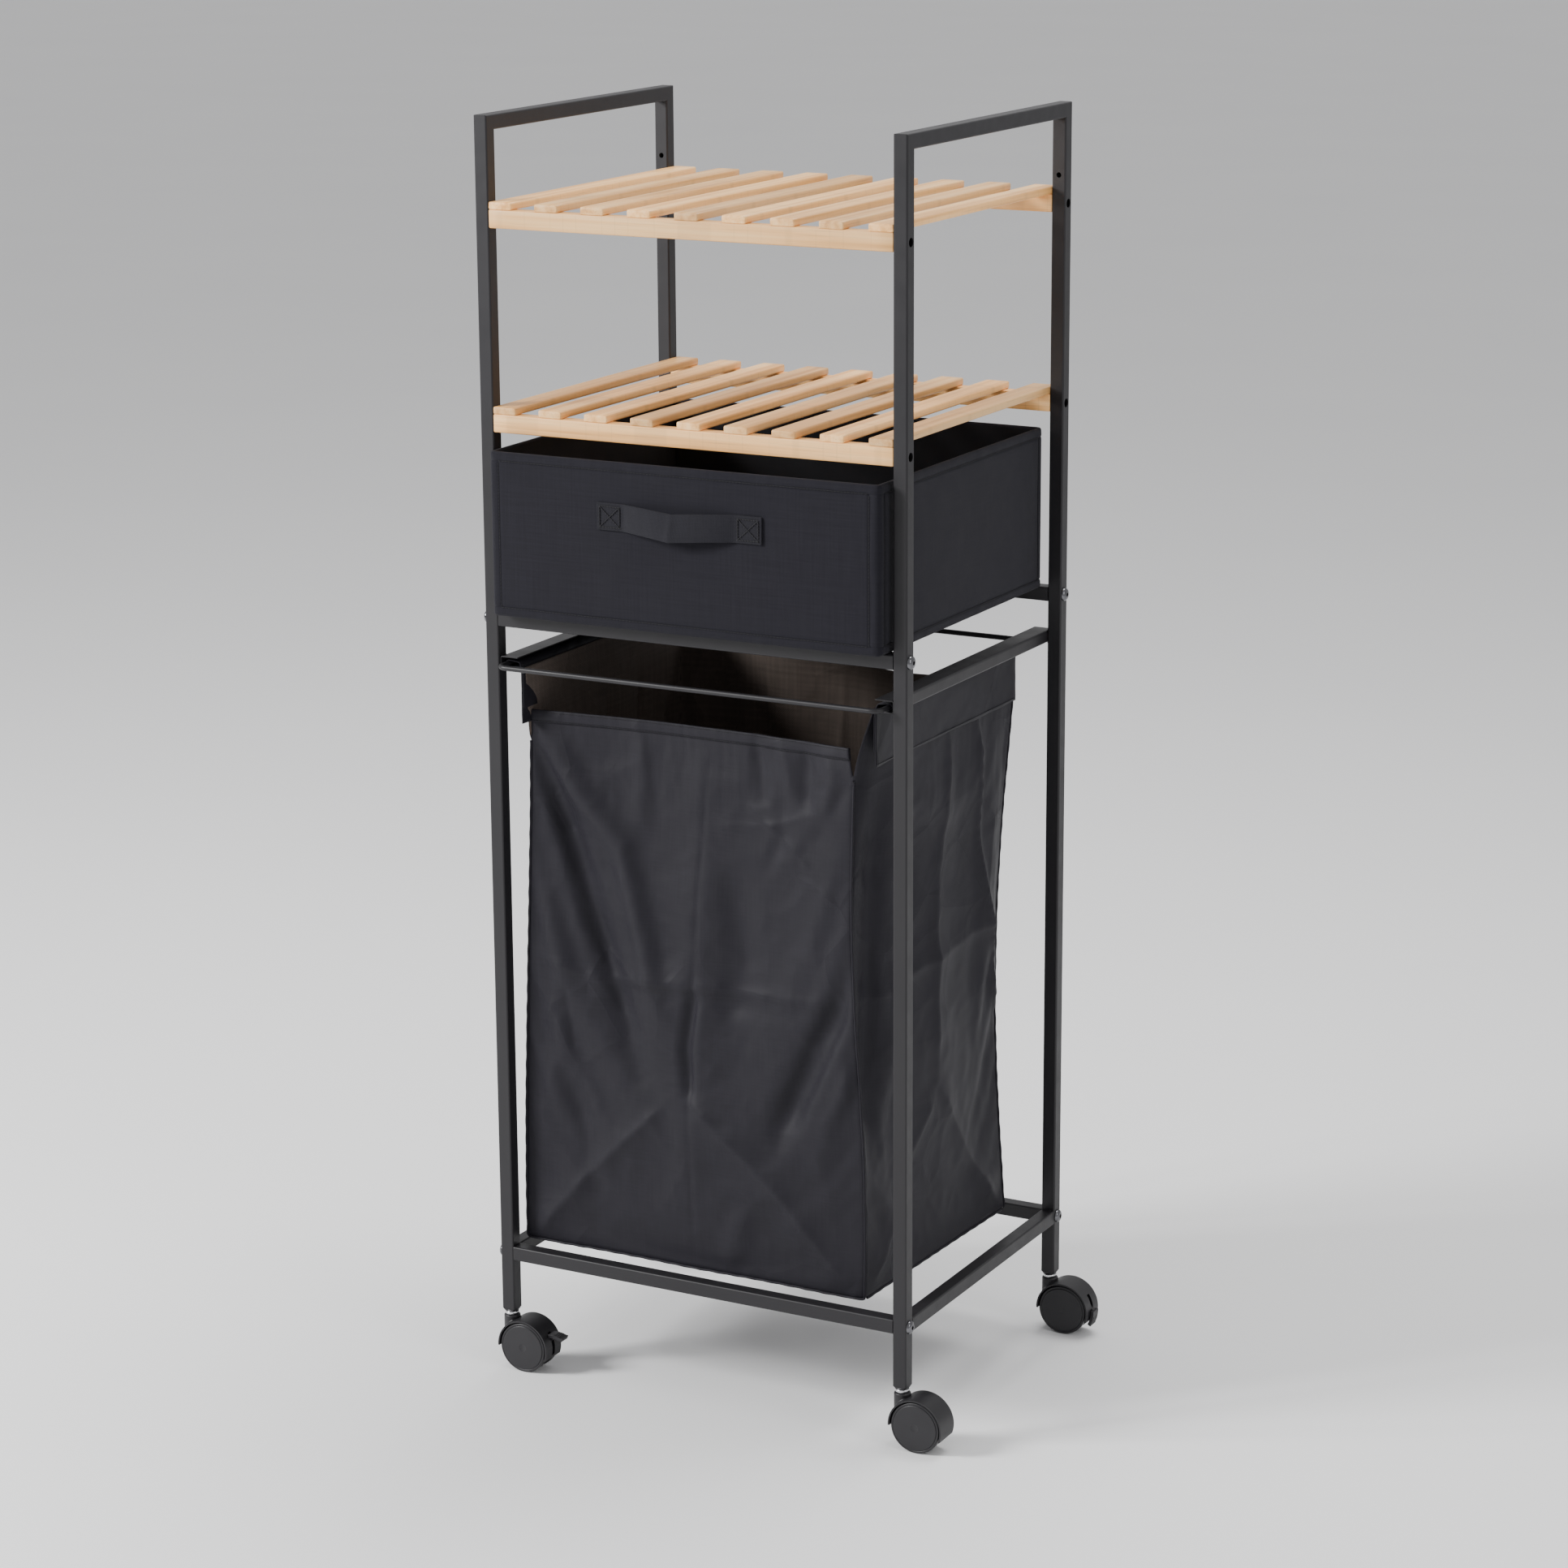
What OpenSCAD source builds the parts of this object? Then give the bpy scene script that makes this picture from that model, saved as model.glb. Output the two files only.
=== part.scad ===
/* [Frame] */
// Width over the two side frames
frame_w = 440; // [400:5:480]
// Depth over the front and rear posts
frame_d = 344; // [320:2:400]
// Height from the floor to the top bars
frame_h = 1215; // [1150:5:1300]
// Outside width of the square steel tube
tube = 14; // [13:0.5:16]
// Wall of the steel tube
tube_wall = 1.2; // [1:0.1:1.5]
// Height of the posts' lower ends above the floor
post_z = 60; // [58:1:64]
// Middle height of the base rails and base crossbars
base_z = 118.5; // [112:0.5:130]

/* [Shelves] */
// Height of the top shelf's surface
top_shelf_z = 1137; // [1100:1:1140]
// Height of the lower shelf's surface
lower_shelf_z = 949; // [935:1:980]
// Number of slats on each shelf, gaps between them are as wide as a slat
slat_count = 9; // [5:1:13]
// Thickness of a slat
slat_t = 7; // [5:0.5:9]
// Height of a shelf's end rail
rail_h = 17; // [14:1:20]

/* [Drawer] */
// Middle height of the two crossbars that carry the drawer
crossbar_z = 749; // [740:1:760]
// Height of the drawer
drawer_h = 154.5; // [120:0.5:165]
// Distance that the drawer's front stands out from the posts
drawer_proud = 18; // [10:1:24]
// Thickness of a covered drawer panel
panel_t = 4; // [3:0.5:6]
// Length of the pull strap
strap_l = 170; // [140:5:220]
// Width of the pull strap
strap_w = 25; // [20:1:30]

/* [Laundry bag] */
// Lower face of the two channels that carry the bag's hanger
runner_z = 701.5; // [690:0.5:715]
// Thickness of the hanger's round bar
rod_d = 5; // [4:0.5:5]
// Height of the bag's bottom
bag_z = 131; // [128:1:180]
// Height of the front panel's top edge
bag_front_z = 660; // [600:5:670]
// Height of the back panel's top edge
bag_back_z = 667; // [600:1:675]
// Outside width of the bag's body
bag_w = 368; // [340:2:370]

/* [Casters] */
// Diameter of a caster wheel
wheel_d = 50; // [46:1:52]
// Distance from the swivel axis to the axle
trail = 19; // [18:0.5:22]
// Width of the hood over both wheels
hood_w = 28; // [26:1:30]

/* [Hidden] */
$fn = 64;
post_x = frame_w / 2 - tube / 2;
post_y = frame_d / 2 - tube / 2;
inner_w = frame_w - 2 * tube;
corner_r = 1.6;
overrun = 1;

slat_w = inner_w / (2 * slat_count - 1);
screw_z_drop = slat_t + rail_h / 2;
screw_r = 2;
screw_hole_r = 2.05;
access_hole_r = 4.2;
bolt_r = 3;
bolt_hole_r = 3.05;
bolt_head_r = 6.5;
bolt_head_h = 3.6;
wall_hole_r = 2.5;
wall_hole_z = top_shelf_z + 11;
screw_shank = 22;
insert_l = 20;
insert_fit = 0.05;
insert_w = tube - 2 * tube_wall - 2 * insert_fit;
plug_l = 26;
plug_collar = 3;

drawer_z = crossbar_z + tube / 2 + 0.3;
drawer_w = 405;
drawer_front_y = -frame_d / 2 - drawer_proud;
drawer_back_y = 155;
strap_t = 2;
strap_gap = 9;
strap_end = 27;
strap_z = drawer_z + 104;

runner_w = 19;
runner_h = 12;
runner_t = 1.2;
runner_end = 2;
runner_hole_y = 67;
rod_r = rod_d / 2;
rod_z = runner_z + runner_t + 3.6;
rod_x = 199;
rod_front_y = -186;
rod_rear_y = 140;
rod_bend = 9;
sleeve_t = 0.7;
sleeve_x = 186;
sleeve_drop = 649;
sleeve_front_y = -166;
sleeve_rear_y = 130;
cloth_t = 2;
bag_front_y = -152;
bag_rear_y = 132;

wheel_r = wheel_d / 2;
wheel_in = 5.4;
wheel_out = hood_w / 2 - 0.4;
web_w = 10;
hood_r = wheel_r + 2.5;
hood_t = 1.5;
neck_r = 8;
neck_top = post_z - plug_collar - 3.5;
washer_r = 6.5;
spigot_r = 4;
plug_bore_r = 4.05;
stem_r = 3;
stem_bore_r = 3.05;
stem_foot = 30;
axle_r = 2;
rim_edge = 2;
axle_end_gap = 0.4;
lever_pin_r = 1.5;
lever_pin_at = 22;
lever_pin_angle = 14;
lever_lift = 95;
lever_w = 12;
lever_t = 3.2;
lever_gap = 0.6;
lever_arm_w = 4;
lever_tip = hood_r + lever_gap + lever_t;

// The casters trail to the right and the strap stands out in front, so the
// frame is moved to bring the middle of the whole object to the origin.
frame_x = (frame_w / 2 + bolt_head_h - post_x - trail - lever_tip) / 2;
frame_y = (-drawer_front_y + strap_gap + strap_t - post_y - hood_w / 2) / 2;

STEMS = [["fl", -post_x, -post_y], ["fr", post_x, -post_y], ["rl", -post_x, post_y], ["rr", post_x, post_y]];

// ---- shared shapes ----

module at_frame() {
    translate([frame_x, frame_y, 0]) children();
}

module rounded_square(size, r) {
    half = size / 2 - r;
    square([size, size - 2 * r], center = true);
    square([size - 2 * r, size], center = true);
    for (x = [-half, half], y = [-half, half]) translate([x, y]) circle(r);
}

module tube_profile() {
    difference() {
        rounded_square(tube, corner_r);
        square(tube - 2 * tube_wall, center = true);
    }
}

module rod_x_dir(r, length) {
    rotate([0, 90, 0]) cylinder(r = r, h = length, center = true);
}

module rod_y_dir(r, length) {
    rotate([90, 0, 0]) cylinder(r = r, h = length, center = true);
}

module steel() {
    color([0.16, 0.16, 0.18]) at_frame() children();
}

module bamboo() {
    color([0.72, 0.52, 0.31]) at_frame() children();
}

module canvas() {
    color([0.13, 0.14, 0.17]) at_frame() children();
}

module zinc() {
    color([0.80, 0.80, 0.82]) at_frame() children();
}

module dark_steel() {
    color([0.25, 0.25, 0.28]) at_frame() children();
}

module bag_cloth() {
    color([0.09, 0.09, 0.10]) at_frame() children();
}

module black_plastic() {
    color([0.20, 0.20, 0.21]) at_frame() children();
}

// ---- side frames ----

// side is -1 for the left frame and 1 for the right, face is -1 for a front post
module post(side, face) {
    steel() difference() {
        translate([side * post_x, face * post_y, post_z])
            linear_extrude(frame_h - post_z) tube_profile();
        translate([side * post_x, face * (frame_d / 2 - tube), frame_h - tube])
            rotate([45 * face, 0, 0])
                translate([0, 0, tube]) cube([2 * tube, 4 * tube, 2 * tube], center = true);
        for (z = [top_shelf_z - screw_z_drop, lower_shelf_z - screw_z_drop]) {
            translate([side * post_x, face * post_y, z]) rod_x_dir(screw_hole_r, tube + 2 * overrun);
            translate([side * (frame_w / 2), face * post_y, z]) rod_x_dir(access_hole_r, tube);
        }
        for (z = [crossbar_z, base_z])
            translate([side * post_x, face * post_y, z]) rod_x_dir(bolt_hole_r, tube + 2 * overrun);
        if (face > 0)
            translate([side * post_x, post_y, wall_hole_z]) rod_y_dir(wall_hole_r, tube + 2 * overrun);
    }
}

module top_bar(side) {
    steel() intersection() {
        translate([side * post_x, 0, frame_h - tube / 2])
            rotate([90, 0, 0]) linear_extrude(frame_d, center = true) tube_profile();
        translate([side * post_x, 0, frame_h]) rotate([90, 0, 90])
            linear_extrude(2 * tube, center = true)
                polygon([
                    [-frame_d / 2, 0], [frame_d / 2, 0],
                    [frame_d / 2 - tube, -tube], [-frame_d / 2 + tube, -tube]
                ]);
    }
}

module base_rail(side) {
    steel() translate([side * post_x, 0, base_z])
        rotate([90, 0, 0]) linear_extrude(frame_d - 2 * tube, center = true) tube_profile();
}

module runner_profile() {
    difference() {
        square([runner_w, runner_h]);
        translate([-overrun, runner_t])
            square([runner_w - runner_t + overrun, runner_h - 2 * runner_t]);
    }
}

// A channel that opens towards the middle, with a plate across its rear end
module runner(side) {
    length = frame_d - 2 * runner_end;
    steel() mirror([side < 0 ? 1 : 0, 0, 0])
        translate([inner_w / 2 - runner_w, frame_d / 2 - runner_end, runner_z]) {
            difference() {
                rotate([90, 0, 0]) linear_extrude(length) runner_profile();
                translate([runner_w / 2 - 2, runner_hole_y - frame_d / 2 + runner_end, runner_h])
                    cylinder(r = 1.8, h = 3 * runner_t, center = true);
            }
            translate([0, -runner_t, 0]) cube([runner_w, runner_t, runner_h]);
        }
}

module crossbar(face, z) {
    steel() translate([0, face * post_y, z])
        rotate([90, 0, 90]) linear_extrude(inner_w, center = true) tube_profile();
}

// ---- bamboo shelves ----

module shelf_rail(face, z) {
    bamboo() difference() {
        translate([-inner_w / 2, face * post_y - tube / 2, z - slat_t - rail_h])
            cube([inner_w, tube, rail_h]);
        for (side = [-1, 1])
            translate([side * inner_w / 2, face * post_y, z - screw_z_drop])
                rod_x_dir(screw_hole_r, 2 * (screw_shank + overrun));
    }
}

module slat() {
    edge = 1;
    rotate([90, 0, 0]) linear_extrude(frame_d, center = true)
        polygon([
            [0, 0], [slat_w, 0], [slat_w, slat_t - edge],
            [slat_w - edge, slat_t], [edge, slat_t], [0, slat_t - edge]
        ]);
}

module shelf_slats(z) {
    bamboo() for (i = [0 : slat_count - 1])
        translate([-inner_w / 2 + 2 * i * slat_w, 0, z - slat_t]) slat();
}

// ---- fasteners and plugs ----

module shelf_screws() {
    zinc() for (side = [0, 1], face = [-1, 1], z = [top_shelf_z, lower_shelf_z])
        mirror([side, 0, 0])
            translate([inner_w / 2 + tube_wall, face * post_y, z - screw_z_drop])
                screw_body();
}

// A pan head seated on the post's inner wall, with its shank in the shelf rail
module screw_body() {
    head_h = 2.2;
    rotate([0, 90, 0]) {
        cylinder(r = 3.6, h = head_h);
        translate([0, 0, -screw_shank]) cylinder(r = screw_r, h = screw_shank);
    }
}

// A domed head outside the post and a shank through it into the crossbar's end
module bolt_body() {
    dome_r = 8;
    shank = tube + 16;
    rotate([0, 90, 0]) {
        intersection() {
            cylinder(r = bolt_head_r, h = bolt_head_h);
            translate([0, 0, bolt_head_h - dome_r]) sphere(dome_r);
        }
        translate([0, 0, -shank]) cylinder(r = bolt_r, h = shank);
    }
}

module crossbar_bolts() {
    dark_steel() for (side = [0, 1], face = [-1, 1], z = [crossbar_z, base_z])
        mirror([side, 0, 0]) translate([frame_w / 2, face * post_y, z]) bolt_body();
}

// A threaded block in each end of a crossbar
module crossbar_inserts() {
    zinc() for (side = [0, 1], face = [-1, 1], z = [crossbar_z, base_z])
        mirror([side, 0, 0]) translate([inner_w / 2 - insert_l / 2, face * post_y, z])
            difference() {
                cube([insert_l, insert_w, insert_w], center = true);
                rod_x_dir(bolt_hole_r, insert_l + overrun);
            }
}

// Seen from the side, a collar that narrows downwards
module collar_slice() {
    top = tube / 2 - 0.4;
    foot = tube / 2 - 2;
    rotate([90, 0, 0]) linear_extrude(tube, center = true)
        polygon([[-foot, -plug_collar], [foot, -plug_collar], [top, 0], [-top, 0]]);
}

// A plug in each post's lower end, with its collar below the tube
module post_plugs() {
    black_plastic() for (s = STEMS) translate([s[1], s[2], 0]) difference() {
        union() {
            translate([-insert_w / 2, -insert_w / 2, post_z]) cube([insert_w, insert_w, plug_l]);
            translate([0, 0, post_z]) intersection() {
                collar_slice();
                rotate([0, 0, 90]) collar_slice();
            }
        }
        cylinder(r = plug_bore_r, h = post_z + plug_l + overrun);
    }
}

// The steel stem with its washer, held in the plug
module caster_stems() {
    shoulder = neck_top + 0.3;
    zinc() for (s = STEMS) translate([s[1], s[2], 0]) {
        translate([0, 0, shoulder]) cylinder(r = washer_r, h = post_z - plug_collar - shoulder);
        translate([0, 0, post_z - plug_collar]) cylinder(r = spigot_r, h = plug_l);
        translate([0, 0, stem_foot]) cylinder(r = stem_r, h = shoulder - stem_foot);
    }
}

// ---- drawer ----

module drawer_front_panel() {
    canvas() translate([-drawer_w / 2, drawer_front_y, drawer_z])
        cube([drawer_w, panel_t, drawer_h]);
}

module drawer_back_panel() {
    canvas() translate([-drawer_w / 2, drawer_back_y - panel_t, drawer_z])
        cube([drawer_w, panel_t, drawer_h]);
}

module drawer_side_panel(side) {
    canvas() translate([side * (drawer_w / 2 - panel_t / 2) - panel_t / 2, drawer_front_y + panel_t, drawer_z])
        cube([panel_t, drawer_back_y - drawer_front_y - 2 * panel_t, drawer_h]);
}

module drawer_base_board() {
    canvas() translate([-drawer_w / 2 + panel_t, drawer_front_y + panel_t, drawer_z])
        cube([drawer_w - 2 * panel_t, drawer_back_y - drawer_front_y - 2 * panel_t, panel_t]);
}

// A webbing strap, flat where it is sewn down and standing off between
module drawer_pull_strap() {
    half = strap_l / 2;
    bow = half - strap_end;
    slope = 18;
    canvas() translate([0, drawer_front_y, strap_z - strap_w / 2])
        linear_extrude(strap_w)
            polygon([
                [-half, 0], [-bow, 0], [-bow + slope, -strap_gap], [bow - slope, -strap_gap], [bow, 0], [half, 0],
                [half, -strap_t], [bow + strap_t, -strap_t], [bow - slope + strap_t, -strap_gap - strap_t],
                [-bow + slope - strap_t, -strap_gap - strap_t], [-bow - strap_t, -strap_t], [-half, -strap_t]
            ]);
}

// ---- hanger and laundry bag ----

// The front bar, bent back at both ends
module hanger_front_rod() {
    steel() translate([0, 0, rod_z]) {
        translate([0, rod_front_y, 0]) rod_x_dir(rod_r, 2 * (rod_x - rod_bend));
        for (side = [0, 1])
            mirror([side, 0, 0]) translate([rod_x - rod_bend, rod_front_y + rod_bend, 0])
                rotate([0, 0, -90]) rotate_extrude(angle = 90) translate([rod_bend, 0]) circle(rod_r);
    }
}

module hanger_side_rods() {
    length = rod_rear_y + rod_r - rod_front_y - rod_bend;
    steel() for (side = [-1, 1])
        translate([side * rod_x, rod_front_y + rod_bend + length / 2, rod_z]) rod_y_dir(rod_r, length);
}

module hanger_rear_rod() {
    steel() difference() {
        translate([0, rod_rear_y, rod_z]) rod_x_dir(rod_r, 2 * rod_x);
        for (side = [-1, 1])
            translate([side * rod_x, rod_rear_y, rod_z]) rod_y_dir(rod_r, 4 * rod_d);
    }
}

module bag_wall(y, top) {
    bag_cloth() translate([-bag_w / 2, y, bag_z]) cube([bag_w, cloth_t, top - bag_z]);
}

module bag_side(side) {
    depth = bag_rear_y - bag_front_y - 2 * cloth_t;
    bag_cloth() translate([side * (bag_w / 2 - cloth_t / 2) - cloth_t / 2, bag_front_y + cloth_t, bag_z])
        cube([cloth_t, depth, rod_z - 3 - bag_z]);
}

module bag_bottom() {
    bag_cloth() translate([-bag_w / 2 + cloth_t, bag_front_y + cloth_t, bag_z])
        cube([bag_w - 2 * cloth_t, bag_rear_y - bag_front_y - 2 * cloth_t, cloth_t]);
}

// The sleeve goes round the side rod, out of the channel's mouth and down outside the wall
module bag_sleeve(side) {
    lip_z = runner_z + runner_t + 0.5;
    bag_cloth() mirror([side < 0 ? 1 : 0, 0, 0])
        translate([0, sleeve_rear_y, 0]) rotate([90, 0, 0]) linear_extrude(sleeve_rear_y - sleeve_front_y) {
            difference() {
                union() {
                    translate([rod_x, rod_z]) circle(rod_r + sleeve_t);
                    translate([bag_w / 2, lip_z]) square([rod_x - bag_w / 2, 1]);
                }
                translate([rod_x, rod_z]) circle(rod_r + 0.02);
            }
            translate([bag_w / 2, sleeve_drop]) square([sleeve_x - bag_w / 2, lip_z - sleeve_drop]);
        }
}

// ---- casters ----

// x runs back from the swivel axis, the hood's outline lies in the x-z plane
module ring_sector(outer, inner, from, to) {
    reach = 3 * outer;
    middle = (from + to) / 2;
    intersection() {
        difference() {
            circle(outer);
            circle(inner);
        }
        polygon([
            [0, 0], [reach * cos(from), reach * sin(from)],
            [reach * cos((from + middle) / 2), reach * sin((from + middle) / 2)],
            [reach * cos(middle), reach * sin(middle)],
            [reach * cos((to + middle) / 2), reach * sin((to + middle) / 2)],
            [reach * cos(to), reach * sin(to)]
        ]);
    }
}

module around_axle(width) {
    translate([trail, 0, wheel_r]) rotate([90, 0, 0]) linear_extrude(width, center = true) children();
}

module lever_pivot() {
    translate([
        trail + lever_pin_at * cos(lever_pin_angle), 0, wheel_r + lever_pin_at * sin(lever_pin_angle)
    ]) children();
}

module caster_housing(s, brake) {
    web_low = 9;
    slot_w = lever_arm_w + 0.6;
    black_plastic() translate([s[1], s[2], 0]) difference() {
        union() {
            around_axle(hood_w) ring_sector(hood_r, hood_r - hood_t, -20, 183);
            around_axle(web_w) difference() {
                circle(hood_r - hood_t / 2);
                translate([-2 * hood_r, -2 * hood_r - web_low]) square([4 * hood_r, 2 * hood_r]);
            }
            difference() {
                translate([0, 0, wheel_r]) cylinder(r = neck_r, h = neck_top - wheel_r);
                around_axle(2 * hood_w) circle(hood_r - hood_t / 2);
            }
        }
        translate([0, 0, stem_foot - 1]) cylinder(r = stem_bore_r, h = neck_top);
        translate([trail, 0, wheel_r]) rod_y_dir(axle_r + 0.02, web_w + 2 * overrun);
        if (brake) {
            around_axle(slot_w) ring_sector(hood_r + overrun, lever_pin_at - 7, -14, 36);
            lever_pivot() rod_y_dir(lever_pin_r + 0.05, web_w - 0.6);
        }
    }
}

module caster_axle(s) {
    half = wheel_out - rim_edge - axle_end_gap;
    zinc() translate([s[1] + trail, s[2], wheel_r]) rod_y_dir(axle_r, 2 * half);
}

// A flat disc with a rounded outer edge and a blind bore for the axle
module caster_wheel(s, face) {
    bore = axle_r + 0.05;
    width = wheel_out - wheel_in;
    black_plastic() translate([s[1] + trail, s[2] + face * wheel_in, wheel_r])
        rotate([face < 0 ? 90 : -90, 0, 0]) rotate_extrude() {
            translate([bore, 0]) square([wheel_r - bore, width - rim_edge]);
            translate([0, width - rim_edge]) square([wheel_r - rim_edge, rim_edge]);
            translate([wheel_r - rim_edge, width - rim_edge]) intersection() {
                circle(rim_edge);
                square(rim_edge);
            }
        }
}

// An arm from the pivot out through the slot, then a curved paddle down the hood's back
module lever_arm() {
    pin = [lever_pin_at * cos(lever_pin_angle), lever_pin_at * sin(lever_pin_angle)];
    translate(pin) circle(2.6);
    polygon([
        pin + [-1.2, -2.3], pin + [6.2, -8.2], [lever_tip * cos(5), -lever_tip * sin(5)],
        [lever_tip * cos(4), lever_tip * sin(4)], pin + [2.2, 1.4]
    ]);
}

// Drawn pressed down, lift turns it up about its pivot
module brake_lever(s, lift) {
    black_plastic() translate([s[1], s[2], 0]) lever_pivot() rotate([0, -lift, 0]) {
        rod_y_dir(lever_pin_r, web_w - 1);
        translate([
            -lever_pin_at * cos(lever_pin_angle), 0, -lever_pin_at * sin(lever_pin_angle)
        ]) rotate([90, 0, 0]) {
            linear_extrude(lever_w, center = true)
                ring_sector(lever_tip, hood_r + lever_gap, -28, 2);
            linear_extrude(lever_arm_w, center = true) lever_arm();
        }
    }
}

post(-1, -1);  // left_front_post
post(-1, 1);  // left_rear_post
post(1, -1);  // right_front_post
post(1, 1);  // right_rear_post
top_bar(-1);  // left_top_bar
top_bar(1);  // right_top_bar
base_rail(-1);  // left_base_rail
base_rail(1);  // right_base_rail
runner(-1);  // left_runner
runner(1);  // right_runner
crossbar(-1, crossbar_z);  // drawer_front_crossbar
crossbar(1, crossbar_z);  // drawer_rear_crossbar
crossbar(-1, base_z);  // base_front_crossbar
crossbar(1, base_z);  // base_rear_crossbar
shelf_rail(-1, top_shelf_z);  // top_shelf_front_rail
shelf_rail(1, top_shelf_z);  // top_shelf_rear_rail
shelf_slats(top_shelf_z);  // top_shelf_slats
shelf_rail(-1, lower_shelf_z);  // lower_shelf_front_rail
shelf_rail(1, lower_shelf_z);  // lower_shelf_rear_rail
shelf_slats(lower_shelf_z);  // lower_shelf_slats
shelf_screws();
crossbar_bolts();
crossbar_inserts();
post_plugs();
caster_stems();
drawer_front_panel();
drawer_back_panel();
drawer_side_panel(-1);  // drawer_left_panel
drawer_side_panel(1);  // drawer_right_panel
drawer_base_board();
drawer_pull_strap();
hanger_front_rod();
hanger_side_rods();
hanger_rear_rod();
bag_wall(bag_front_y, bag_front_z);  // bag_front
bag_wall(bag_rear_y - cloth_t, bag_back_z);  // bag_back
bag_side(-1);  // bag_left_side
bag_side(1);  // bag_right_side
bag_bottom();
bag_sleeve(-1);  // bag_left_sleeve
bag_sleeve(1);  // bag_right_sleeve
caster_housing(STEMS[0], true);  // fl_caster_housing
caster_axle(STEMS[0]);  // fl_caster_axle
caster_wheel(STEMS[0], -1);  // fl_front_wheel
caster_wheel(STEMS[0], 1);  // fl_rear_wheel
brake_lever(STEMS[0], lever_lift);  // fl_brake_lever
caster_housing(STEMS[1], false);  // fr_caster_housing
caster_axle(STEMS[1]);  // fr_caster_axle
caster_wheel(STEMS[1], -1);  // fr_front_wheel
caster_wheel(STEMS[1], 1);  // fr_rear_wheel
caster_housing(STEMS[2], false);  // rl_caster_housing
caster_axle(STEMS[2]);  // rl_caster_axle
caster_wheel(STEMS[2], -1);  // rl_front_wheel
caster_wheel(STEMS[2], 1);  // rl_rear_wheel
caster_housing(STEMS[3], true);  // rr_caster_housing
caster_axle(STEMS[3]);  // rr_caster_axle
caster_wheel(STEMS[3], -1);  // rr_front_wheel
caster_wheel(STEMS[3], 1);  // rr_rear_wheel
brake_lever(STEMS[3], 0);  // rr_brake_lever
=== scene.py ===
"""Looks of a rolling laundry sorter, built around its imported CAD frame. Lengths are in metres."""

import math

import bpy
import numpy as np
from mathutils import Matrix, Vector, noise


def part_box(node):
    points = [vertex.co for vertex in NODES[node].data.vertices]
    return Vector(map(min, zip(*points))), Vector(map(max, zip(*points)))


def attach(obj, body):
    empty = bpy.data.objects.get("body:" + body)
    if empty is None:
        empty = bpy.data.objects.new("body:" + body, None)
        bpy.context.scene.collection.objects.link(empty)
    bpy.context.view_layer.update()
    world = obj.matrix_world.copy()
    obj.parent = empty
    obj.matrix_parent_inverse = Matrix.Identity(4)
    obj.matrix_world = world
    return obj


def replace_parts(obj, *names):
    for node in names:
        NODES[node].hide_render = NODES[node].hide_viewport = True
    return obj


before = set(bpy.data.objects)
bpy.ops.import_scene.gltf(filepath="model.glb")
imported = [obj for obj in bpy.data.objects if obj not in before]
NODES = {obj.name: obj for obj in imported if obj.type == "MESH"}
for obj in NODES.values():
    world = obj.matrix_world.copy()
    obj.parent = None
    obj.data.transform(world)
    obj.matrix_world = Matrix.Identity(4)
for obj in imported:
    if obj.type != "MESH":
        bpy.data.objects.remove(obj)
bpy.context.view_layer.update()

# ---- places taken from the CAD ----

POST_LOW, POST_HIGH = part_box("left_front_post")
FAR_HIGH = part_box("right_rear_post")[1]
MID = Vector(((POST_LOW.x + FAR_HIGH.x) / 2, (POST_LOW.y + FAR_HIGH.y) / 2, 0))
TUBE = POST_HIGH.x - POST_LOW.x
HALF_W = FAR_HIGH.x - MID.x
HALF_D = FAR_HIGH.y - MID.y
POST_X = HALF_W - TUBE / 2
POST_Y = HALF_D - TUBE / 2

FRONT, RIGHT, UP = Vector((0, -1, 0)), Vector((1, 0, 0)), Vector((0, 0, 1))
CORNERS = [(side, face) for side in (-1, 1) for face in (-1, 1)]


def cad_box(node):
    """A CAD node's corners, measured from the middle of the tube frame."""
    low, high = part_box(node)
    return low - MID, high - MID


def middle_z(node):
    low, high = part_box(node)
    return (low.z + high.z) / 2


# ---- mesh helpers: a part is a list of points and a list of faces ----


def make(name, part, body, material, smooth=True, uvs=None, tones=None):
    """A mesh piece that rides on a CAD body. Its points are measured from the middle of the frame."""
    mesh = bpy.data.meshes.new(name)
    mesh.from_pydata([tuple(Vector(v) + MID) for v in part[0]], [], part[1])
    if uvs is not None:
        layer = mesh.uv_layers.new(name="Weave")
        for loop in mesh.loops:
            layer.data[loop.index].uv = uvs[loop.vertex_index]
    if tones is not None:
        attribute = mesh.attributes.new("tone", "FLOAT", "POINT")
        attribute.data.foreach_set("value", np.array(tones, np.float32))
    mesh.validate()
    mesh.update()
    for polygon in mesh.polygons:
        polygon.use_smooth = smooth
    piece = bpy.data.objects.new(name, mesh)
    bpy.context.scene.collection.objects.link(piece)
    for one in material if isinstance(material, list) else [material]:
        mesh.materials.append(one)
    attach(piece, body)
    return piece


def soften(piece, width, segments=3, angle=30):
    """Rounds a piece's sharp edges and keeps its flat faces flat."""
    bevel = piece.modifiers.new("edges", "BEVEL")
    bevel.width = width
    bevel.segments = segments
    bevel.limit_method = "ANGLE"
    bevel.angle_limit = math.radians(angle)
    bevel.use_clamp_overlap = True
    normals = piece.modifiers.new("normals", "WEIGHTED_NORMAL")
    normals.keep_sharp = True
    return piece


def thicken(piece, thickness, offset, inner_material=0):
    thick = piece.modifiers.new("thickness", "SOLIDIFY")
    thick.thickness = thickness
    thick.offset = offset
    thick.material_offset = inner_material


def join_parts(parts):
    verts, faces = [], []
    for v, f in parts:
        base = len(verts)
        verts += v
        faces += [[i + base for i in face] for face in f]
    return verts, faces


def moved(part, matrix):
    return [matrix @ Vector(v) for v in part[0]], part[1]


def flipped(faces):
    return [face[::-1] for face in faces]


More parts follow.
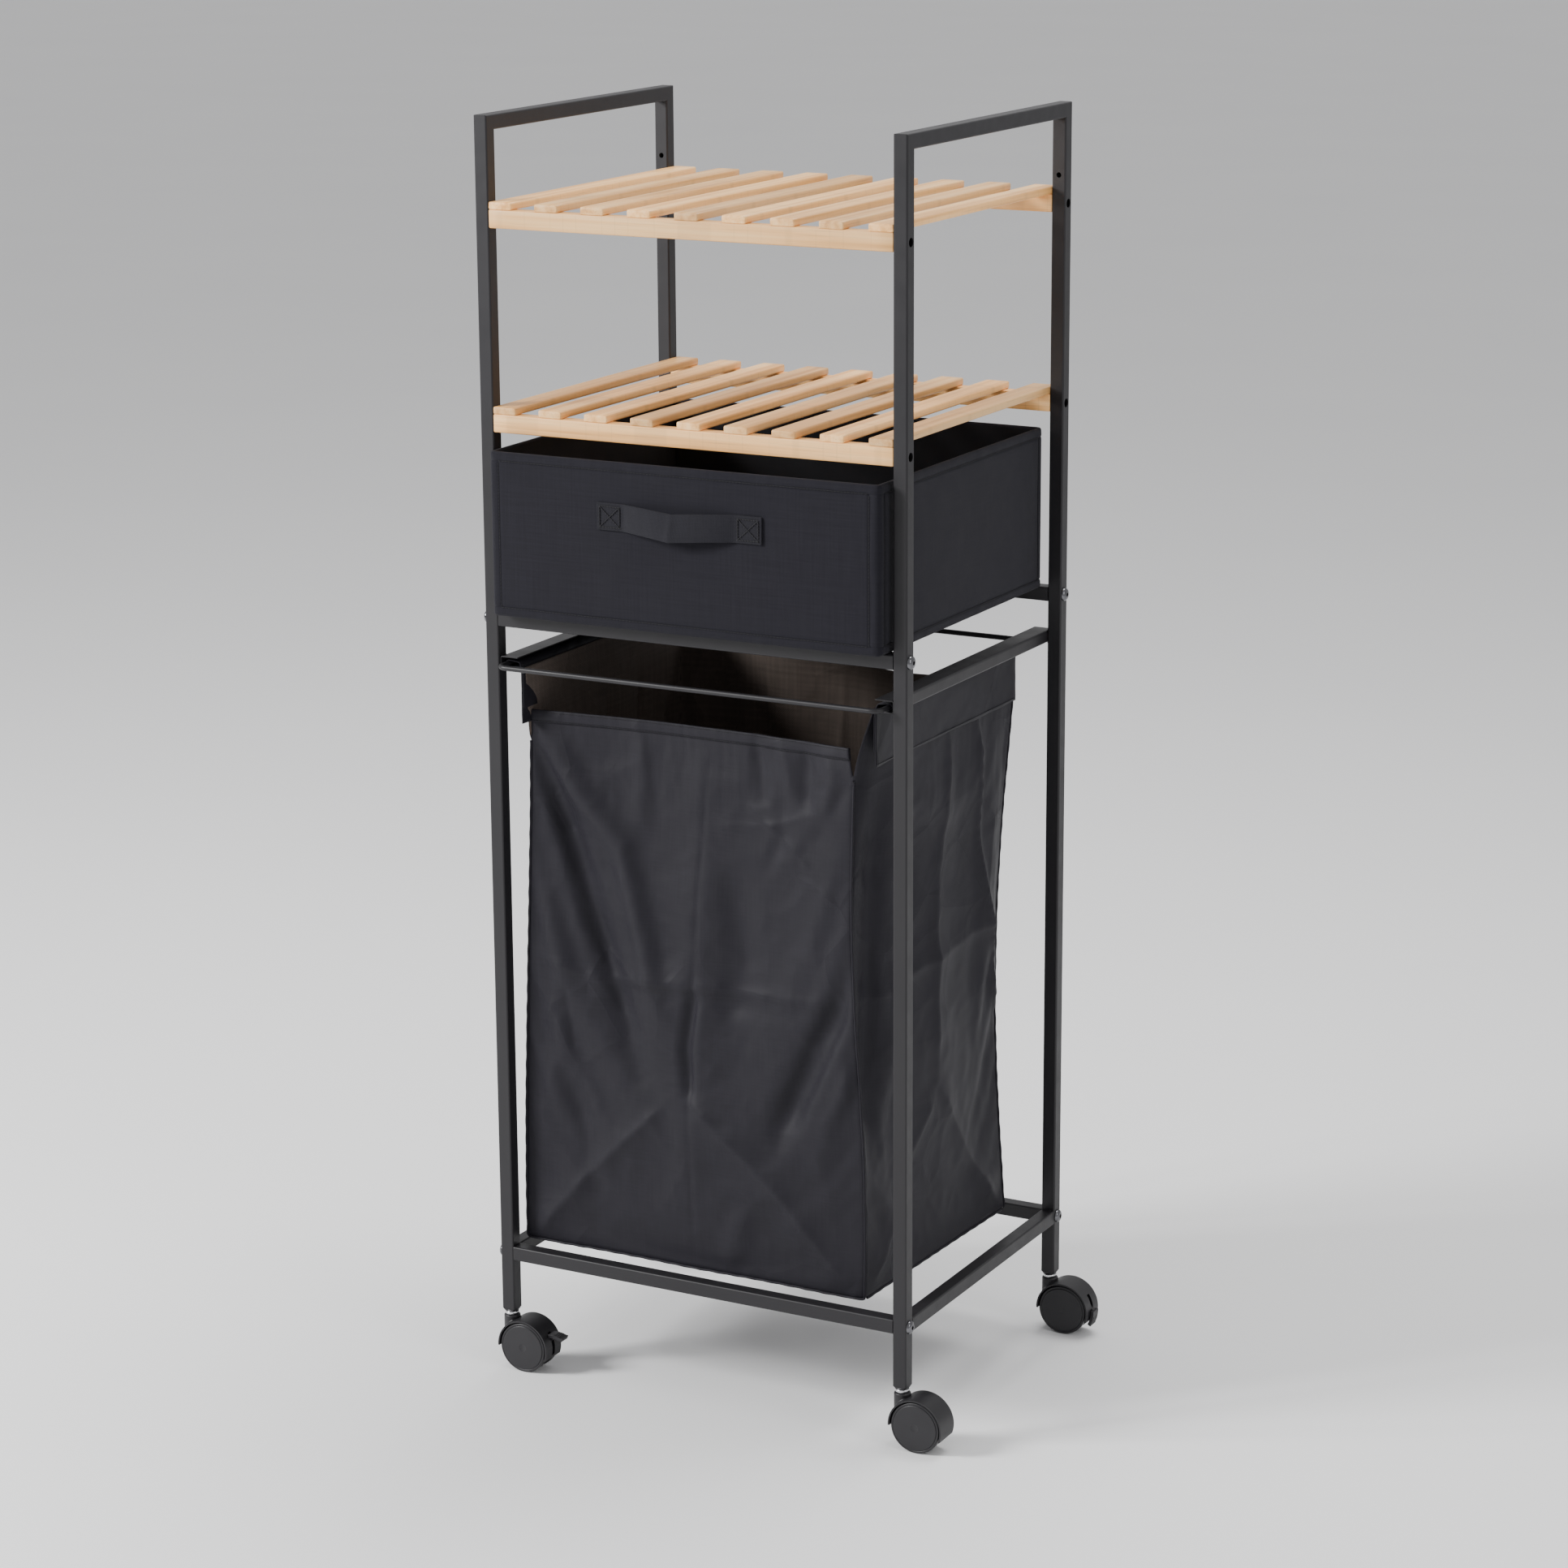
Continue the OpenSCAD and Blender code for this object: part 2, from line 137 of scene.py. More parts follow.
def ring_faces(rows, n):
    """Faces between closed rows of n points."""
    faces = []
    for i in range(rows - 1):
        for k in range(n):
            j = (k + 1) % n
            faces.append([i * n + k, i * n + j, (i + 1) * n + j, (i + 1) * n + k])
    return faces


def grid_faces(columns, n, closed=False, over=False):
    """Faces between columns of n points. closed joins the last column to the first; over turns the faces."""
    faces = []
    for i in range(columns if closed else columns - 1):
        a, b = i * n, (i + 1) % columns * n
        for k in range(n - 1):
            face = [a + k, a + k + 1, b + k + 1, b + k]
            faces.append([face[0], face[3], face[2], face[1]] if over else face)
    return faces


def tube_faces(rows, n):
    """Closed rows of n points with a cap at each end."""
    return ring_faces(rows, n) + [list(range(n))[::-1], list(range((rows - 1) * n, rows * n))]


def prism(outline, low, high, axis="z"):
    """A closed outline, extruded along y or z."""
    verts = [(x, y, h) if axis == "z" else (x, h, y) for h in (low, high) for x, y in outline]
    faces = tube_faces(2, len(outline))
    area = sum(a[0] * b[1] - b[0] * a[1] for a, b in zip(outline, outline[1:] + outline[:1]))
    return verts, flipped(faces) if (area < 0) != (axis == "y") else faces


def box_part(low, high):
    (x0, y0, z0), (x1, y1, z1) = low, high
    return prism([(x0, y0), (x1, y0), (x1, y1), (x0, y1)], z0, z1)


def lathe(profile, sides=48, axis="z"):
    """A profile of (radius, height) points turned about an axis. A radius of 0 closes it."""
    verts, faces, rings = [], [], []
    for r, h in profile:
        count = 1 if r < 1e-9 else sides
        rings.append(list(range(len(verts), len(verts) + count)))
        for k in range(count):
            a = 2 * math.pi * k / sides
            p = (r * math.cos(a), r * math.sin(a), h)
            verts.append({"z": p, "x": (p[2], p[0], p[1]), "y": (p[1], p[2], p[0])}[axis])
    for a, b in zip(rings, rings[1:]):
        for k in range(sides):
            j = (k + 1) % sides
            if len(a) > 1 and len(b) > 1:
                faces.append([a[k], a[j], b[j], b[k]])
            elif len(b) > 1:
                faces.append([a[0], b[j], b[k]])
            elif len(a) > 1:
                faces.append([a[k], a[j], b[0]])
    return verts, faces


def sweep(points, radius, sides=14):
    """A round bar along a line of points."""
    points = [Vector(p) for p in points]
    verts, side = [], None
    for i, p in enumerate(points):
        along = (points[min(i + 1, len(points) - 1)] - points[max(i - 1, 0)]).normalized()
        if side is None:
            side = along.orthogonal().normalized()
        side = (side - along * side.dot(along)).normalized()
        up = along.cross(side)
        for k in range(sides):
            a = 2 * math.pi * k / sides
            verts.append(p + (side * math.cos(a) + up * math.sin(a)) * radius)
    faces = [[face[1], face[2], face[3], face[0]] for face in ring_faces(len(points), sides)]
    faces += [list(range(sides)), list(range(len(verts) - sides, len(verts)))[::-1]]
    return verts, faces


def arc(centre, radius, start, end, steps):
    """Points on an arc, with angles in degrees."""
    turns = [math.radians(start + (end - start) * i / steps) for i in range(steps + 1)]
    return [(centre[0] + radius * math.cos(a), centre[1] + radius * math.sin(a)) for a in turns]


def rounded_rect(half_x, half_y, r, steps=5):
    out = []
    for cx, cy, start in ((1, 1, 0), (-1, 1, 90), (-1, -1, 180), (1, -1, 270)):
        out += arc((cx * (half_x - r), cy * (half_y - r)), r, start, start + 90, steps)
    return out


def stitch_line(points, outward, pitch=0.0034, length=0.0024, radius=0.00034):
    """A row of thread stitches along a line of points, half sunk into the cloth."""
    points = [Vector(p) for p in points]
    normals = outward if isinstance(outward, list) else [outward] * len(points)
    parts = []
    wanted = pitch / 2
    for p, q, n in zip(points, points[1:], normals):
        gap = (q - p).length
        if gap < 1e-9:
            continue
        along = (q - p) / gap
        while wanted <= gap:
            a, b = p + along * (wanted - length / 2), p + along * (wanted + length / 2)
            lift, sink, ease_in = n * radius * 0.9, n * radius * 0.3, along * length * 0.2
            parts.append(sweep([a - sink, a + ease_in + lift, b - ease_in + lift, b - sink], radius, 6))
            wanted += pitch
        wanted -= gap
    return join_parts(parts)


def ease(t):
    t = np.clip(t, 0.0, 1.0)
    return t * t * (3 - 2 * t)


def mix(a, b, t):
    return a + (b - a) * t


def fractal(p, scale, seed=0.0, octaves=3):
    """Smooth noise from about -1 to 1."""
    q = Vector(p) * scale + Vector((seed * 7.31, seed * 3.17, seed * 5.71))
    total, size = 0.0, 1.0
    for _ in range(octaves):
        total += noise.noise(q) * size
        q = q * 2.03
        size *= 0.5
    return total


# ---- materials ----


class Graph:
    """A material and a short way to add nodes to it."""

    def __init__(self, name):
        self.material = bpy.data.materials.new(name)
        self.material.use_nodes = True
        self.tree = self.material.node_tree
        self.shader = self.tree.nodes["Principled BSDF"]

    def node(self, kind, values=(), **settings):
        made = self.tree.nodes.new("ShaderNode" + kind)
        for key, value in settings.items():
            setattr(made, key, value)
        for key, value in dict(values).items():
            self.put(made, key, value)
        return made

    def put(self, made, key, value):
        socket = made.inputs[key]
        if isinstance(value, bpy.types.NodeSocket):
            self.tree.links.new(value, socket)
        else:
            socket.default_value = value

    def set(self, **values):
        for key, value in values.items():
            self.put(self.shader, key.replace("_", " "), value)
        return self.material

    def place(self):
        return self.node("TexCoord").outputs["Object"]

    def stretched(self, vector, scale):
        return self.node("Mapping", {"Vector": vector, "Scale": scale}).outputs["Vector"]

    def noise(self, vector, scale, detail=2.0):
        return self.node("TexNoise", {"Vector": vector, "Scale": scale, "Detail": detail}).outputs["Fac"]

    def bent(self, vector, scale, amount):
        """A place moved about by noise, so that straight patterns waver."""
        waver = self.node("TexNoise", {"Vector": vector, "Scale": scale, "Detail": 2.0}).outputs["Color"]
        push = self.node("VectorMath", {0: waver, 1: (amount,) * 3}, operation="MULTIPLY").outputs[0]
        return self.node("VectorMath", {0: vector, 1: push}, operation="ADD").outputs[0]

    def ramp(self, factor, stops):
        made = self.node("ValToRGB", {"Fac": factor})
        elements = made.color_ramp.elements
        while len(elements) < len(stops):
            elements.new(0.5)
        for element, (at, colour) in zip(elements, stops):
            element.position = at
            element.color = (*colour, 1) if hasattr(colour, "__len__") else (colour, colour, colour, 1)
        return made.outputs["Color"]

    def math(self, kind, a, b=0.0, c=0.0):
        return self.node("Math", {0: a, 1: b, 2: c}, operation=kind).outputs[0]

    def span(self, value, low, high):
        """Maps 0..1 to low..high."""
        return self.node("MapRange", {"Value": value, "To Min": low, "To Max": high}).outputs["Result"]

    def mix(self, factor, a, b, kind="MIX"):
        made = self.node("Mix", {"Factor": factor}, data_type="RGBA", blend_type=kind)
        for index, value in ((6, a), (7, b)):
            self.put(made, index, value if isinstance(value, bpy.types.NodeSocket) else (*value, 1))
        return made.outputs[2]

    def bump(self, height, distance, strength=1.0, below=None):
        made = self.node("Bump", {"Height": height, "Distance": distance, "Strength": strength})
        if below is not None:
            self.put(made, "Normal", below)
        return made.outputs["Normal"]


def powder_coat():
    g = Graph("powder_coat")
    at = g.place()
    base = g.mix(g.noise(at, 9, 3), (0.0105, 0.0098, 0.0115), (0.0165, 0.0155, 0.0175))
    grain = g.bump(g.noise(at, 1500, 2), 0.00012, 0.35)
    matt = g.span(g.noise(at, 60, 3), 0.36, 0.52)
    return g.set(Base_Color=base, Roughness=matt, Normal=grain, Specular_IOR_Level=0.34)


def bamboo(along):
    """Pale bamboo with its fibres along x or y. The tone attribute makes each slat a little different."""
    g = Graph("bamboo_" + along)
    tone = g.node("Attribute", attribute_name="tone").outputs["Fac"]
    shifted = g.node("VectorMath", {0: g.place(), 1: tone}, operation="ADD").outputs[0]

    def fibres(lengthwise, across, scale, detail):
        stretch = (lengthwise, across, across) if along == "x" else (across, lengthwise, across)
        return g.noise(g.stretched(shifted, stretch), scale, detail)

    broad, fine, knot = fibres(3, 130, 1.0, 3), fibres(14, 900, 1.0, 2), fibres(4.1, 0, 9.0, 0)
    pale, mid, warm, dark = (0.97, 0.600, 0.265), (0.91, 0.505, 0.185), (0.70, 0.345, 0.100), (0.33, 0.19, 0.09)
    base = g.ramp(broad, [(0.32, warm), (0.50, mid), (0.66, pale)])
    streak = g.ramp(fine, [(0.30, 0.0), (0.42, 1.0)])
    base = g.mix(0.30, base, g.mix(streak, (0.36, 0.20, 0.09), base))
    each = g.span(tone, 0.72, 1.06)
    base = g.mix(1.0, base, g.node("CombineColor", {0: each, 1: each, 2: each}).outputs[0], "MULTIPLY")
    ring = g.ramp(knot, [(0.485, 0.0), (0.5, 1.0), (0.515, 0.0)])
    base = g.mix(g.math("MULTIPLY", ring, 0.16), base, dark)
    grain = g.bump(fine, 0.00010, 0.5)
    matt = g.span(fine, 0.36, 0.52)
    return g.set(Base_Color=base, Roughness=matt, Normal=grain, Coat_Weight=0.12, Coat_Roughness=0.3)


def woven(name, dark, light, thread, rough, relief, sheen, gloss=0.2, slubs=(900, 25), crumple=0.0):
    """Plain-woven cloth from the piece's own weave map, in metres. A crumple adds fine random creases."""
    g = Graph(name)
    uv = g.node("TexCoord").outputs["UV"]
    at = g.place()
    parts = g.node("SeparateXYZ", {0: uv}).outputs
    warp, weft = (g.math("SINE", g.math("MULTIPLY", parts[k], math.pi / thread)) for k in (0, 1))
    height = g.math("ADD", g.math("ABSOLUTE", warp), g.math("ABSOLUTE", weft))
    weave = g.math("MULTIPLY_ADD", g.math("MULTIPLY", warp, weft), 0.35, 0.5)
    long_way, cross_way = ((a, b, 1) for a, b in (slubs, slubs[::-1]))
    slub = g.math("ADD", *(g.noise(g.stretched(uv, way), 1.0, 2) for way in (long_way, cross_way)))
    cloud = g.noise(at, 11, 4)
    base = g.mix(cloud, dark, light)
    base = g.mix(g.math("MULTIPLY", g.span(weave, 0.0, 1.0), 0.45), base, tuple(1.7 * c for c in light))
    thick = g.math("MULTIPLY", g.math("SUBTRACT", slub, 0.75), 0.5)
    base = g.mix(thick, base, tuple(1.9 * c for c in light))
    surface = g.math("ADD", g.math("MULTIPLY", height, 0.5), g.math("MULTIPLY", slub, 0.35))
    normal = g.bump(surface, relief, 0.8)
    if crumple:
        cells = {"Vector": g.bent(at, 6.0, 0.05), "Scale": 16.0}
        folds = g.node("TexVoronoi", cells, feature="DISTANCE_TO_EDGE").outputs["Distance"]
        ridge = g.ramp(folds, [(0.0, 1.0), (0.10, 0.45), (0.35, 0.0)])
        patches = g.ramp(g.noise(at, 5.0, 1), [(0.42, 0.0), (0.62, 1.0)])
        normal = g.bump(g.math("MULTIPLY", ridge, patches), crumple, 1.0, normal)
    g.set(Base_Color=base, Roughness=g.span(cloud, rough - 0.06, rough + 0.06), Normal=normal)
    return g.set(Sheen_Weight=sheen, Sheen_Roughness=0.45, Specular_IOR_Level=gloss)


def plastic(name, dark, light, rough):
    g = Graph(name)
    at = g.place()
    cloud = g.noise(at, 45, 3)
    spark = g.bump(g.node("TexVoronoi", {"Vector": at, "Scale": 1900.0}).outputs["Distance"], 0.00008, 0.35)
    matt = g.span(cloud, rough - 0.05, rough + 0.07)
    return g.set(Base_Color=g.mix(cloud, dark, light), Roughness=matt, Normal=spark, Specular_IOR_Level=0.36)


def metal(name, colour, rough):
    g = Graph(name)
    cloud = g.noise(g.place(), 160, 4)
    base = g.mix(cloud, tuple(0.8 * c for c in colour), colour)
    matt = g.span(cloud, rough - 0.06, rough + 0.06)
    return g.set(Base_Color=base, Roughness=matt, Normal=g.bump(cloud, 0.00006, 0.3), Metallic=1.0)


STEEL = powder_coat()
BAMBOO_X = bamboo("x")
BAMBOO_Y = bamboo("y")
CANVAS = woven(
    "canvas", (0.0066, 0.0063, 0.0090), (0.0105, 0.0100, 0.0138), thread=0.00062, rough=0.88, relief=0.00016,
    sheen=0.05, gloss=0.14, slubs=(520, 16),
)
LINING = woven(
    "lining", (0.0050, 0.0050, 0.0060), (0.0085, 0.0085, 0.0100), thread=0.00080, rough=0.92, relief=0.00012,
    sheen=0.05,
)
WEBBING = woven(
    "webbing", (0.0066, 0.0064, 0.0088), (0.0105, 0.0101, 0.0136), thread=0.00110, rough=0.80, relief=0.00030,
    sheen=0.06, gloss=0.16,
)
BAG = woven(
    "bag_cloth", (0.0066, 0.0060, 0.0088), (0.0104, 0.0095, 0.0132), thread=0.00040, rough=0.52, relief=0.00005,
    sheen=0.02, gloss=0.18, slubs=(700, 20), crumple=0.0011,
)
# The bag's inside colour is painted light: a lighter brown than the outside cloth, standing in for light shining
# through the thin cloth into the bag.
BAG_INSIDE = woven(
    "bag_inside", (0.0300, 0.0240, 0.0212), (0.0840, 0.0655, 0.0550), thread=0.00120, rough=0.80, relief=0.00016,
    sheen=0.04, slubs=(300, 9), crumple=0.0011,
)
# Dark thread colour, also used for the dark crosses on the screw heads as painted shade in their recesses.
THREAD_AND_RECESS_SHADE = plastic("thread", (0.0070, 0.0068, 0.0085), (0.0120, 0.0115, 0.0145), 0.75)
CASTER = plastic("caster_plastic", (0.0110, 0.0104, 0.0120), (0.0175, 0.0166, 0.0188), 0.42)
TREAD = plastic("wheel_plastic", (0.0125, 0.0120, 0.0138), (0.0195, 0.0186, 0.0210), 0.38)
ZINC = metal("zinc_plate", (0.78, 0.78, 0.80), 0.24)
DARK_METAL = metal("dark_nickel", (0.16, 0.16, 0.17), 0.22)

# ---- steel frame: CAD tubes with powder coat, and small welds ----

TUBES = (
    "left_front_post", "left_rear_post", "right_front_post", "right_rear_post", "left_top_bar", "right_top_bar",
    "left_base_rail", "right_base_rail", "drawer_front_crossbar", "drawer_rear_crossbar",
    "base_front_crossbar", "base_rear_crossbar", "hanger_front_rod", "hanger_side_rods", "hanger_rear_rod",
)


def paint_cad(names, material):
    for name in names:
        mesh = NODES[name].data
        mesh.materials.clear()
        mesh.materials.append(material)


def build_runners():
    """Folded sheet channels, open towards the middle, with a plate across the rear end."""
    t, r = 0.0012, 0.0022
    for side, name in ((-1, "left_runner"), (1, "right_runner")):
        low, high = cad_box(name)
        outer, inner = (high.x, low.x) if side > 0 else (low.x, high.x)

        def bend(z, way, radius):
            start = 270 if way > 0 else 0
            bent = arc((0, 0), radius, start, start + 90, 6)
            return [(outer + side * (x - r), z + way * r + h) for x, h in bent]

        outline = [(inner, low.z)] + bend(low.z, 1, r) + bend(high.z, -1, r)
        outline += [(inner, high.z), (inner, high.z - t)]
        outline += bend(high.z, -1, r - t)[::-1] + bend(low.z, 1, r - t)[::-1] + [(inner, low.z + t)]
        plate = box_part((low.x, high.y - t, low.z), (high.x, high.y + 0.00002, high.z))
        parts = join_parts([prism(outline, low.y, high.y, "y"), plate])
        piece = soften(make(name + "_channel", parts, "frame", STEEL), 0.00035, 2)
        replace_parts(piece, name)


def weld_beads():
    """Small fillets of weld where rails and channels meet the posts."""
    parts = []
    rail_z = middle_z("left_base_rail")
    low, high = cad_box("right_runner")
    for side, face in CORNERS:
        for way in (-1, 1):
            line = []
            for i in range(13):
                wave = 0.00025 * math.sin(i * 2.1 + face + side)
                x = side * POST_X + TUBE * (0.84 * i / 12 - 0.42)
                line.append((x, face * (HALF_D - TUBE - 0.0002), rail_z + way * (TUBE / 2 + wave)))
            parts.append(sweep(line, 0.0011, 8))
        for z in (low.z, high.z):
            line = []
            for i in range(9):
                wave = 0.0002 * math.sin(i * 2.3 + face - side)
                line.append((side * (HALF_W - TUBE), face * (HALF_D - 0.003 - 0.009 * i / 8), z + wave))
            parts.append(sweep(line, 0.0009, 8))
    make("weld_beads", join_parts(parts), "frame", STEEL)


paint_cad(TUBES, STEEL)
paint_cad(("crossbar_inserts", "fl_caster_axle", "fr_caster_axle", "rl_caster_axle", "rr_caster_axle"), ZINC)
build_runners()
weld_beads()

# ---- bolts, screws, plugs and stems ----


def hex_head(radius, height, socket, depth):
    """A domed head with a hexagon socket, along +x from its seat."""
    sides, per_flat = 48, 8
    top = height * 0.98 + 0.0002
    profile = [(radius * 0.7, 0), (radius, 0)]
    for x, h in arc((0, 0), 1, 0, 90, 8):
        profile.append((socket + (radius - socket) * x, height * h * 0.98 + 0.0002))
    verts = [(x, a, b) for x in (top - depth, top) for a, b in arc((0, 0), socket * 0.96, 0, 300, 5)]
    faces = flipped(ring_faces(2, 6)) + [list(range(6))]
    first = len(verts)
    verts += [(top, a, b) for a, b in arc((0, 0), socket, 0, 360 - 360 / sides, sides - 1)]
    for k in range(sides):
        j = (k + 1) % sides
        near, near_next = 6 + round(k / per_flat) % 6, 6 + round(j / per_flat) % 6
        faces.append([first + k, first + j, near])
        if near != near_next:
            faces.append([first + j, near_next, near])
    return join_parts([lathe(profile, sides, "x"), (verts, faces)])


def fastener_place(side, face, reach, z, turn):
    """Where a fastener along +x sits on a post's outer side, turned about its own axis."""
    about = Matrix.Rotation(0 if side > 0 else math.pi, 4, "Z") @ Matrix.Rotation(turn, 4, "X")
    return Matrix.Translation((side * reach, face * POST_Y, z)) @ about


def build_bolts():
    head = hex_head(0.0065, cad_box("crossbar_bolts")[1].x - HALF_W - 0.0002, 0.0021, 0.0018)
    shank = lathe([(0, -0.030), (0.0029, -0.030), (0.0029, 0), (0, 0)], 24, "x")
    parts = []
    for side, face in CORNERS:
        for z in (middle_z("drawer_front_crossbar"), middle_z("base_front_crossbar")):
            there = fastener_place(side, face, HALF_W, z, 0.4 * face + z)
            parts += [moved(head, there), moved(shank, there)]
    piece = soften(make("domed_bolts", join_parts(parts), "frame", DARK_METAL), 0.00012, 2, 35)
    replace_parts(piece, "crossbar_bolts")


def build_screws():
    """Pan heads sunk in the posts. The cross recess is not cut: a dark cross on each head is painted shade in
    its place.
    """
    profile = [(0, -0.022), (0.0020, -0.022), (0.0020, 0), (0.0036, 0), (0.0036, 0.0012)]
    head = lathe(profile + [(0.0030, 0.0019), (0.0016, 0.0022), (0, 0.0022)], 32, "x")
    cross = [box_part((0.0016, -a, -b), (0.00224, a, b)) for a, b in ((0.0016, 0.0003), (0.0003, 0.0016))]
    reach = cad_box("shelf_screws")[1].x - 0.0022
    screws, slots = [], []
    for side, face in CORNERS:
        for z in (middle_z("top_shelf_front_rail"), middle_z("lower_shelf_front_rail")):
            there = fastener_place(side, face, reach, z, 0.7 * side + 9 * z)
            screws.append(moved(head, there))
            slots += [moved(slot, there) for slot in cross]
    piece = make("shelf_pan_screws", join_parts(screws), "frame", ZINC)
    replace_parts(soften(piece, 0.0002, 2), "shelf_screws")
    # The dark cross pieces stand in for the recess: painted shade on the solid head, not a cut hollow.
    make("screw_recess_painted_shade", join_parts(slots), "frame", THREAD_AND_RECESS_SHADE, smooth=False)


def build_plugs_and_stems():
    top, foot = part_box("post_plugs")[0].z, POST_LOW.z
    neck_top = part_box("fl_caster_housing")[1].z
    rings = []
    for half, z, r in ((0.0052, top, 0.0012), (0.0066, foot - 0.0006, 0.0018), (0.0066, foot, 0.0018)):
        rings += [(x, y, z) for x, y in rounded_rect(half, half, r, 4)]
    plug = rings, tube_faces(3, len(rings) // 3)
    profile = [(0, 0.030), (0.0029, 0.030), (0.0029, neck_top + 0.0002), (0.0062, neck_top + 0.0003)]
    profile += [(0.0067, neck_top + 0.0008), (0.0067, top - 0.0006), (0.0062, top), (0.0040, top)]
    stem = lathe(profile + [(0.0040, top + 0.004), (0, top + 0.004)], 40)
    there = [Matrix.Translation((side * POST_X, face * POST_Y, 0)) for side, face in CORNERS]
    plugs, stems = (join_parts([moved(part, place) for place in there]) for part in (plug, stem))
    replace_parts(soften(make("post_end_plugs", plugs, "frame", CASTER), 0.0004, 2), "post_plugs")
    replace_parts(make("stems_and_washers", stems, "frame", ZINC), "caster_stems")


build_bolts()
build_screws()
build_plugs_and_stems()

# ---- bamboo shelves ----


def eased_bar(low, high, round_over, along, tone):
    """A bar with rounded long edges, in slices so that it can be a little uneven."""
    wide, long = (0, 1) if along == "y" else (1, 0)
    outline = rounded_rect((high[wide] - low[wide]) / 2, (high[2] - low[2]) / 2, round_over, 4)
    mid = [(low[i] + high[i]) / 2 for i in range(3)]
    start, end, slices = low[long], high[long], 24
    stops = [(start, 0.0009), (start + 0.0002, 0.0004), (start + 0.0009, 0)]
    stops += [(start + (end - start) * i / slices, 0) for i in range(1, slices)]
    stops += [(end - 0.0009, 0), (end - 0.0002, 0.0004), (end, 0.0009)]
    verts = []
    for s, inset in stops:
        for a, b in outline:
            wave = 0.00012 * fractal((a * 40, s * 12, tone * 9), 1.0)
            across, up = mid[wide] + a - math.copysign(inset, a) + wave, mid[2] + b - math.copysign(inset, b)
            verts.append((across, s, up) if along == "y" else (s, across, up))
    faces = tube_faces(len(stops), len(outline))
    return verts, flipped(faces) if along == "y" else faces


def build_shelves():
    for shelf, rail_tone, phase in (("top", 0.35, 1.3), ("lower", 0.75, 4.0)):
        for end, more in (("front", 0), ("rear", 0.2)):
            name = f"{shelf}_shelf_{end}_rail"
            bar = eased_bar(*cad_box(name), 0.0012, "x", rail_tone + more)
            tones = [rail_tone + more] * len(bar[0])
            piece = make(name.replace("rail", "bamboo"), bar, "frame", BAMBOO_X, tones=tones)
            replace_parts(piece, name)
        name = f"{shelf}_shelf_slats"
        low, high = cad_box(name)
        count = 9
        width = (high.x - low.x) / (2 * count - 1)
        parts, tones = [], []
        for i in range(count):
            tone = 0.5 + 0.5 * math.sin(i * 2.4 + phase)
            x = low.x + 2 * i * width
            parts.append(eased_bar((x, low.y, low.z), (x + width, high.y, high.z), 0.0016, "y", tone))
            tones += [tone] * len(parts[-1][0])
        piece = make(name.replace("slats", "bamboo_slats"), join_parts(parts), "frame", BAMBOO_Y, tones=tones)
        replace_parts(piece, name)


build_shelves()

# ---- fabric drawer ----

DRAWER_LOW, DRAWER_HIGH = cad_box("drawer_front_panel")[0], cad_box("drawer_back_panel")[1]
DRAWER_X = (DRAWER_HIGH.x - DRAWER_LOW.x) / 2 - 0.0010
DRAWER_Y = (DRAWER_HIGH.y - DRAWER_LOW.y) / 2 - 0.0008
DRAWER_MID_Y = (DRAWER_LOW.y + DRAWER_HIGH.y) / 2
DRAWER_FLOOR, DRAWER_TOP = DRAWER_LOW.z + 0.0002, DRAWER_HIGH.z
WALL, CORNER, HEM, BORDER = 0.0048, 0.0055, 0.0085, 0.0105
HEM_TOP, HEM_FOOT = DRAWER_TOP - HEM, DRAWER_FLOOR + HEM
INNER_FLOOR = DRAWER_FLOOR + 0.0045
SEAM_DEPTH, SEAM_WIDTH = 0.0007, 0.0008


def drawer_wall():
    """A line down the wall as (inset, z, kind), from the inside floor over the top edge to the underside."""
    path = [(WALL, mix(INNER_FLOOR, DRAWER_TOP - 0.0026, i / 15), "in") for i in range(15)]
    for i in range(7):
        a = math.pi * i / 6
        path.append((WALL / 2 + WALL / 2 * math.cos(a), DRAWER_TOP - 0.0024 + 0.0024 * math.sin(a), "edge"))
    marks = [DRAWER_TOP - 0.0045] + [HEM_TOP + d for d in (0.0014, 0.0006, 0, -0.0007, -0.0016)]
    upper, lower, steps = HEM_TOP - 0.0034, HEM_FOOT + 0.0034, 34
    marks += [mix(upper, lower, i / steps) for i in range(steps + 1)]
    marks += [HEM_FOOT + d for d in (0.0016, 0.0007, 0, -0.0006, -0.0014, -0.004)] + [DRAWER_FLOOR + 0.0022]
    path += [(0.0, z, "out") for z in marks]
    for i in range(1, 6):
        a = math.pi / 2 * i / 5
        path.append((0.0022 - 0.0022 * math.cos(a), DRAWER_FLOOR + 0.0022 - 0.0022 * math.sin(a), "edge"))
    return path + [(0.020, DRAWER_FLOOR + 0.0001, "under")]


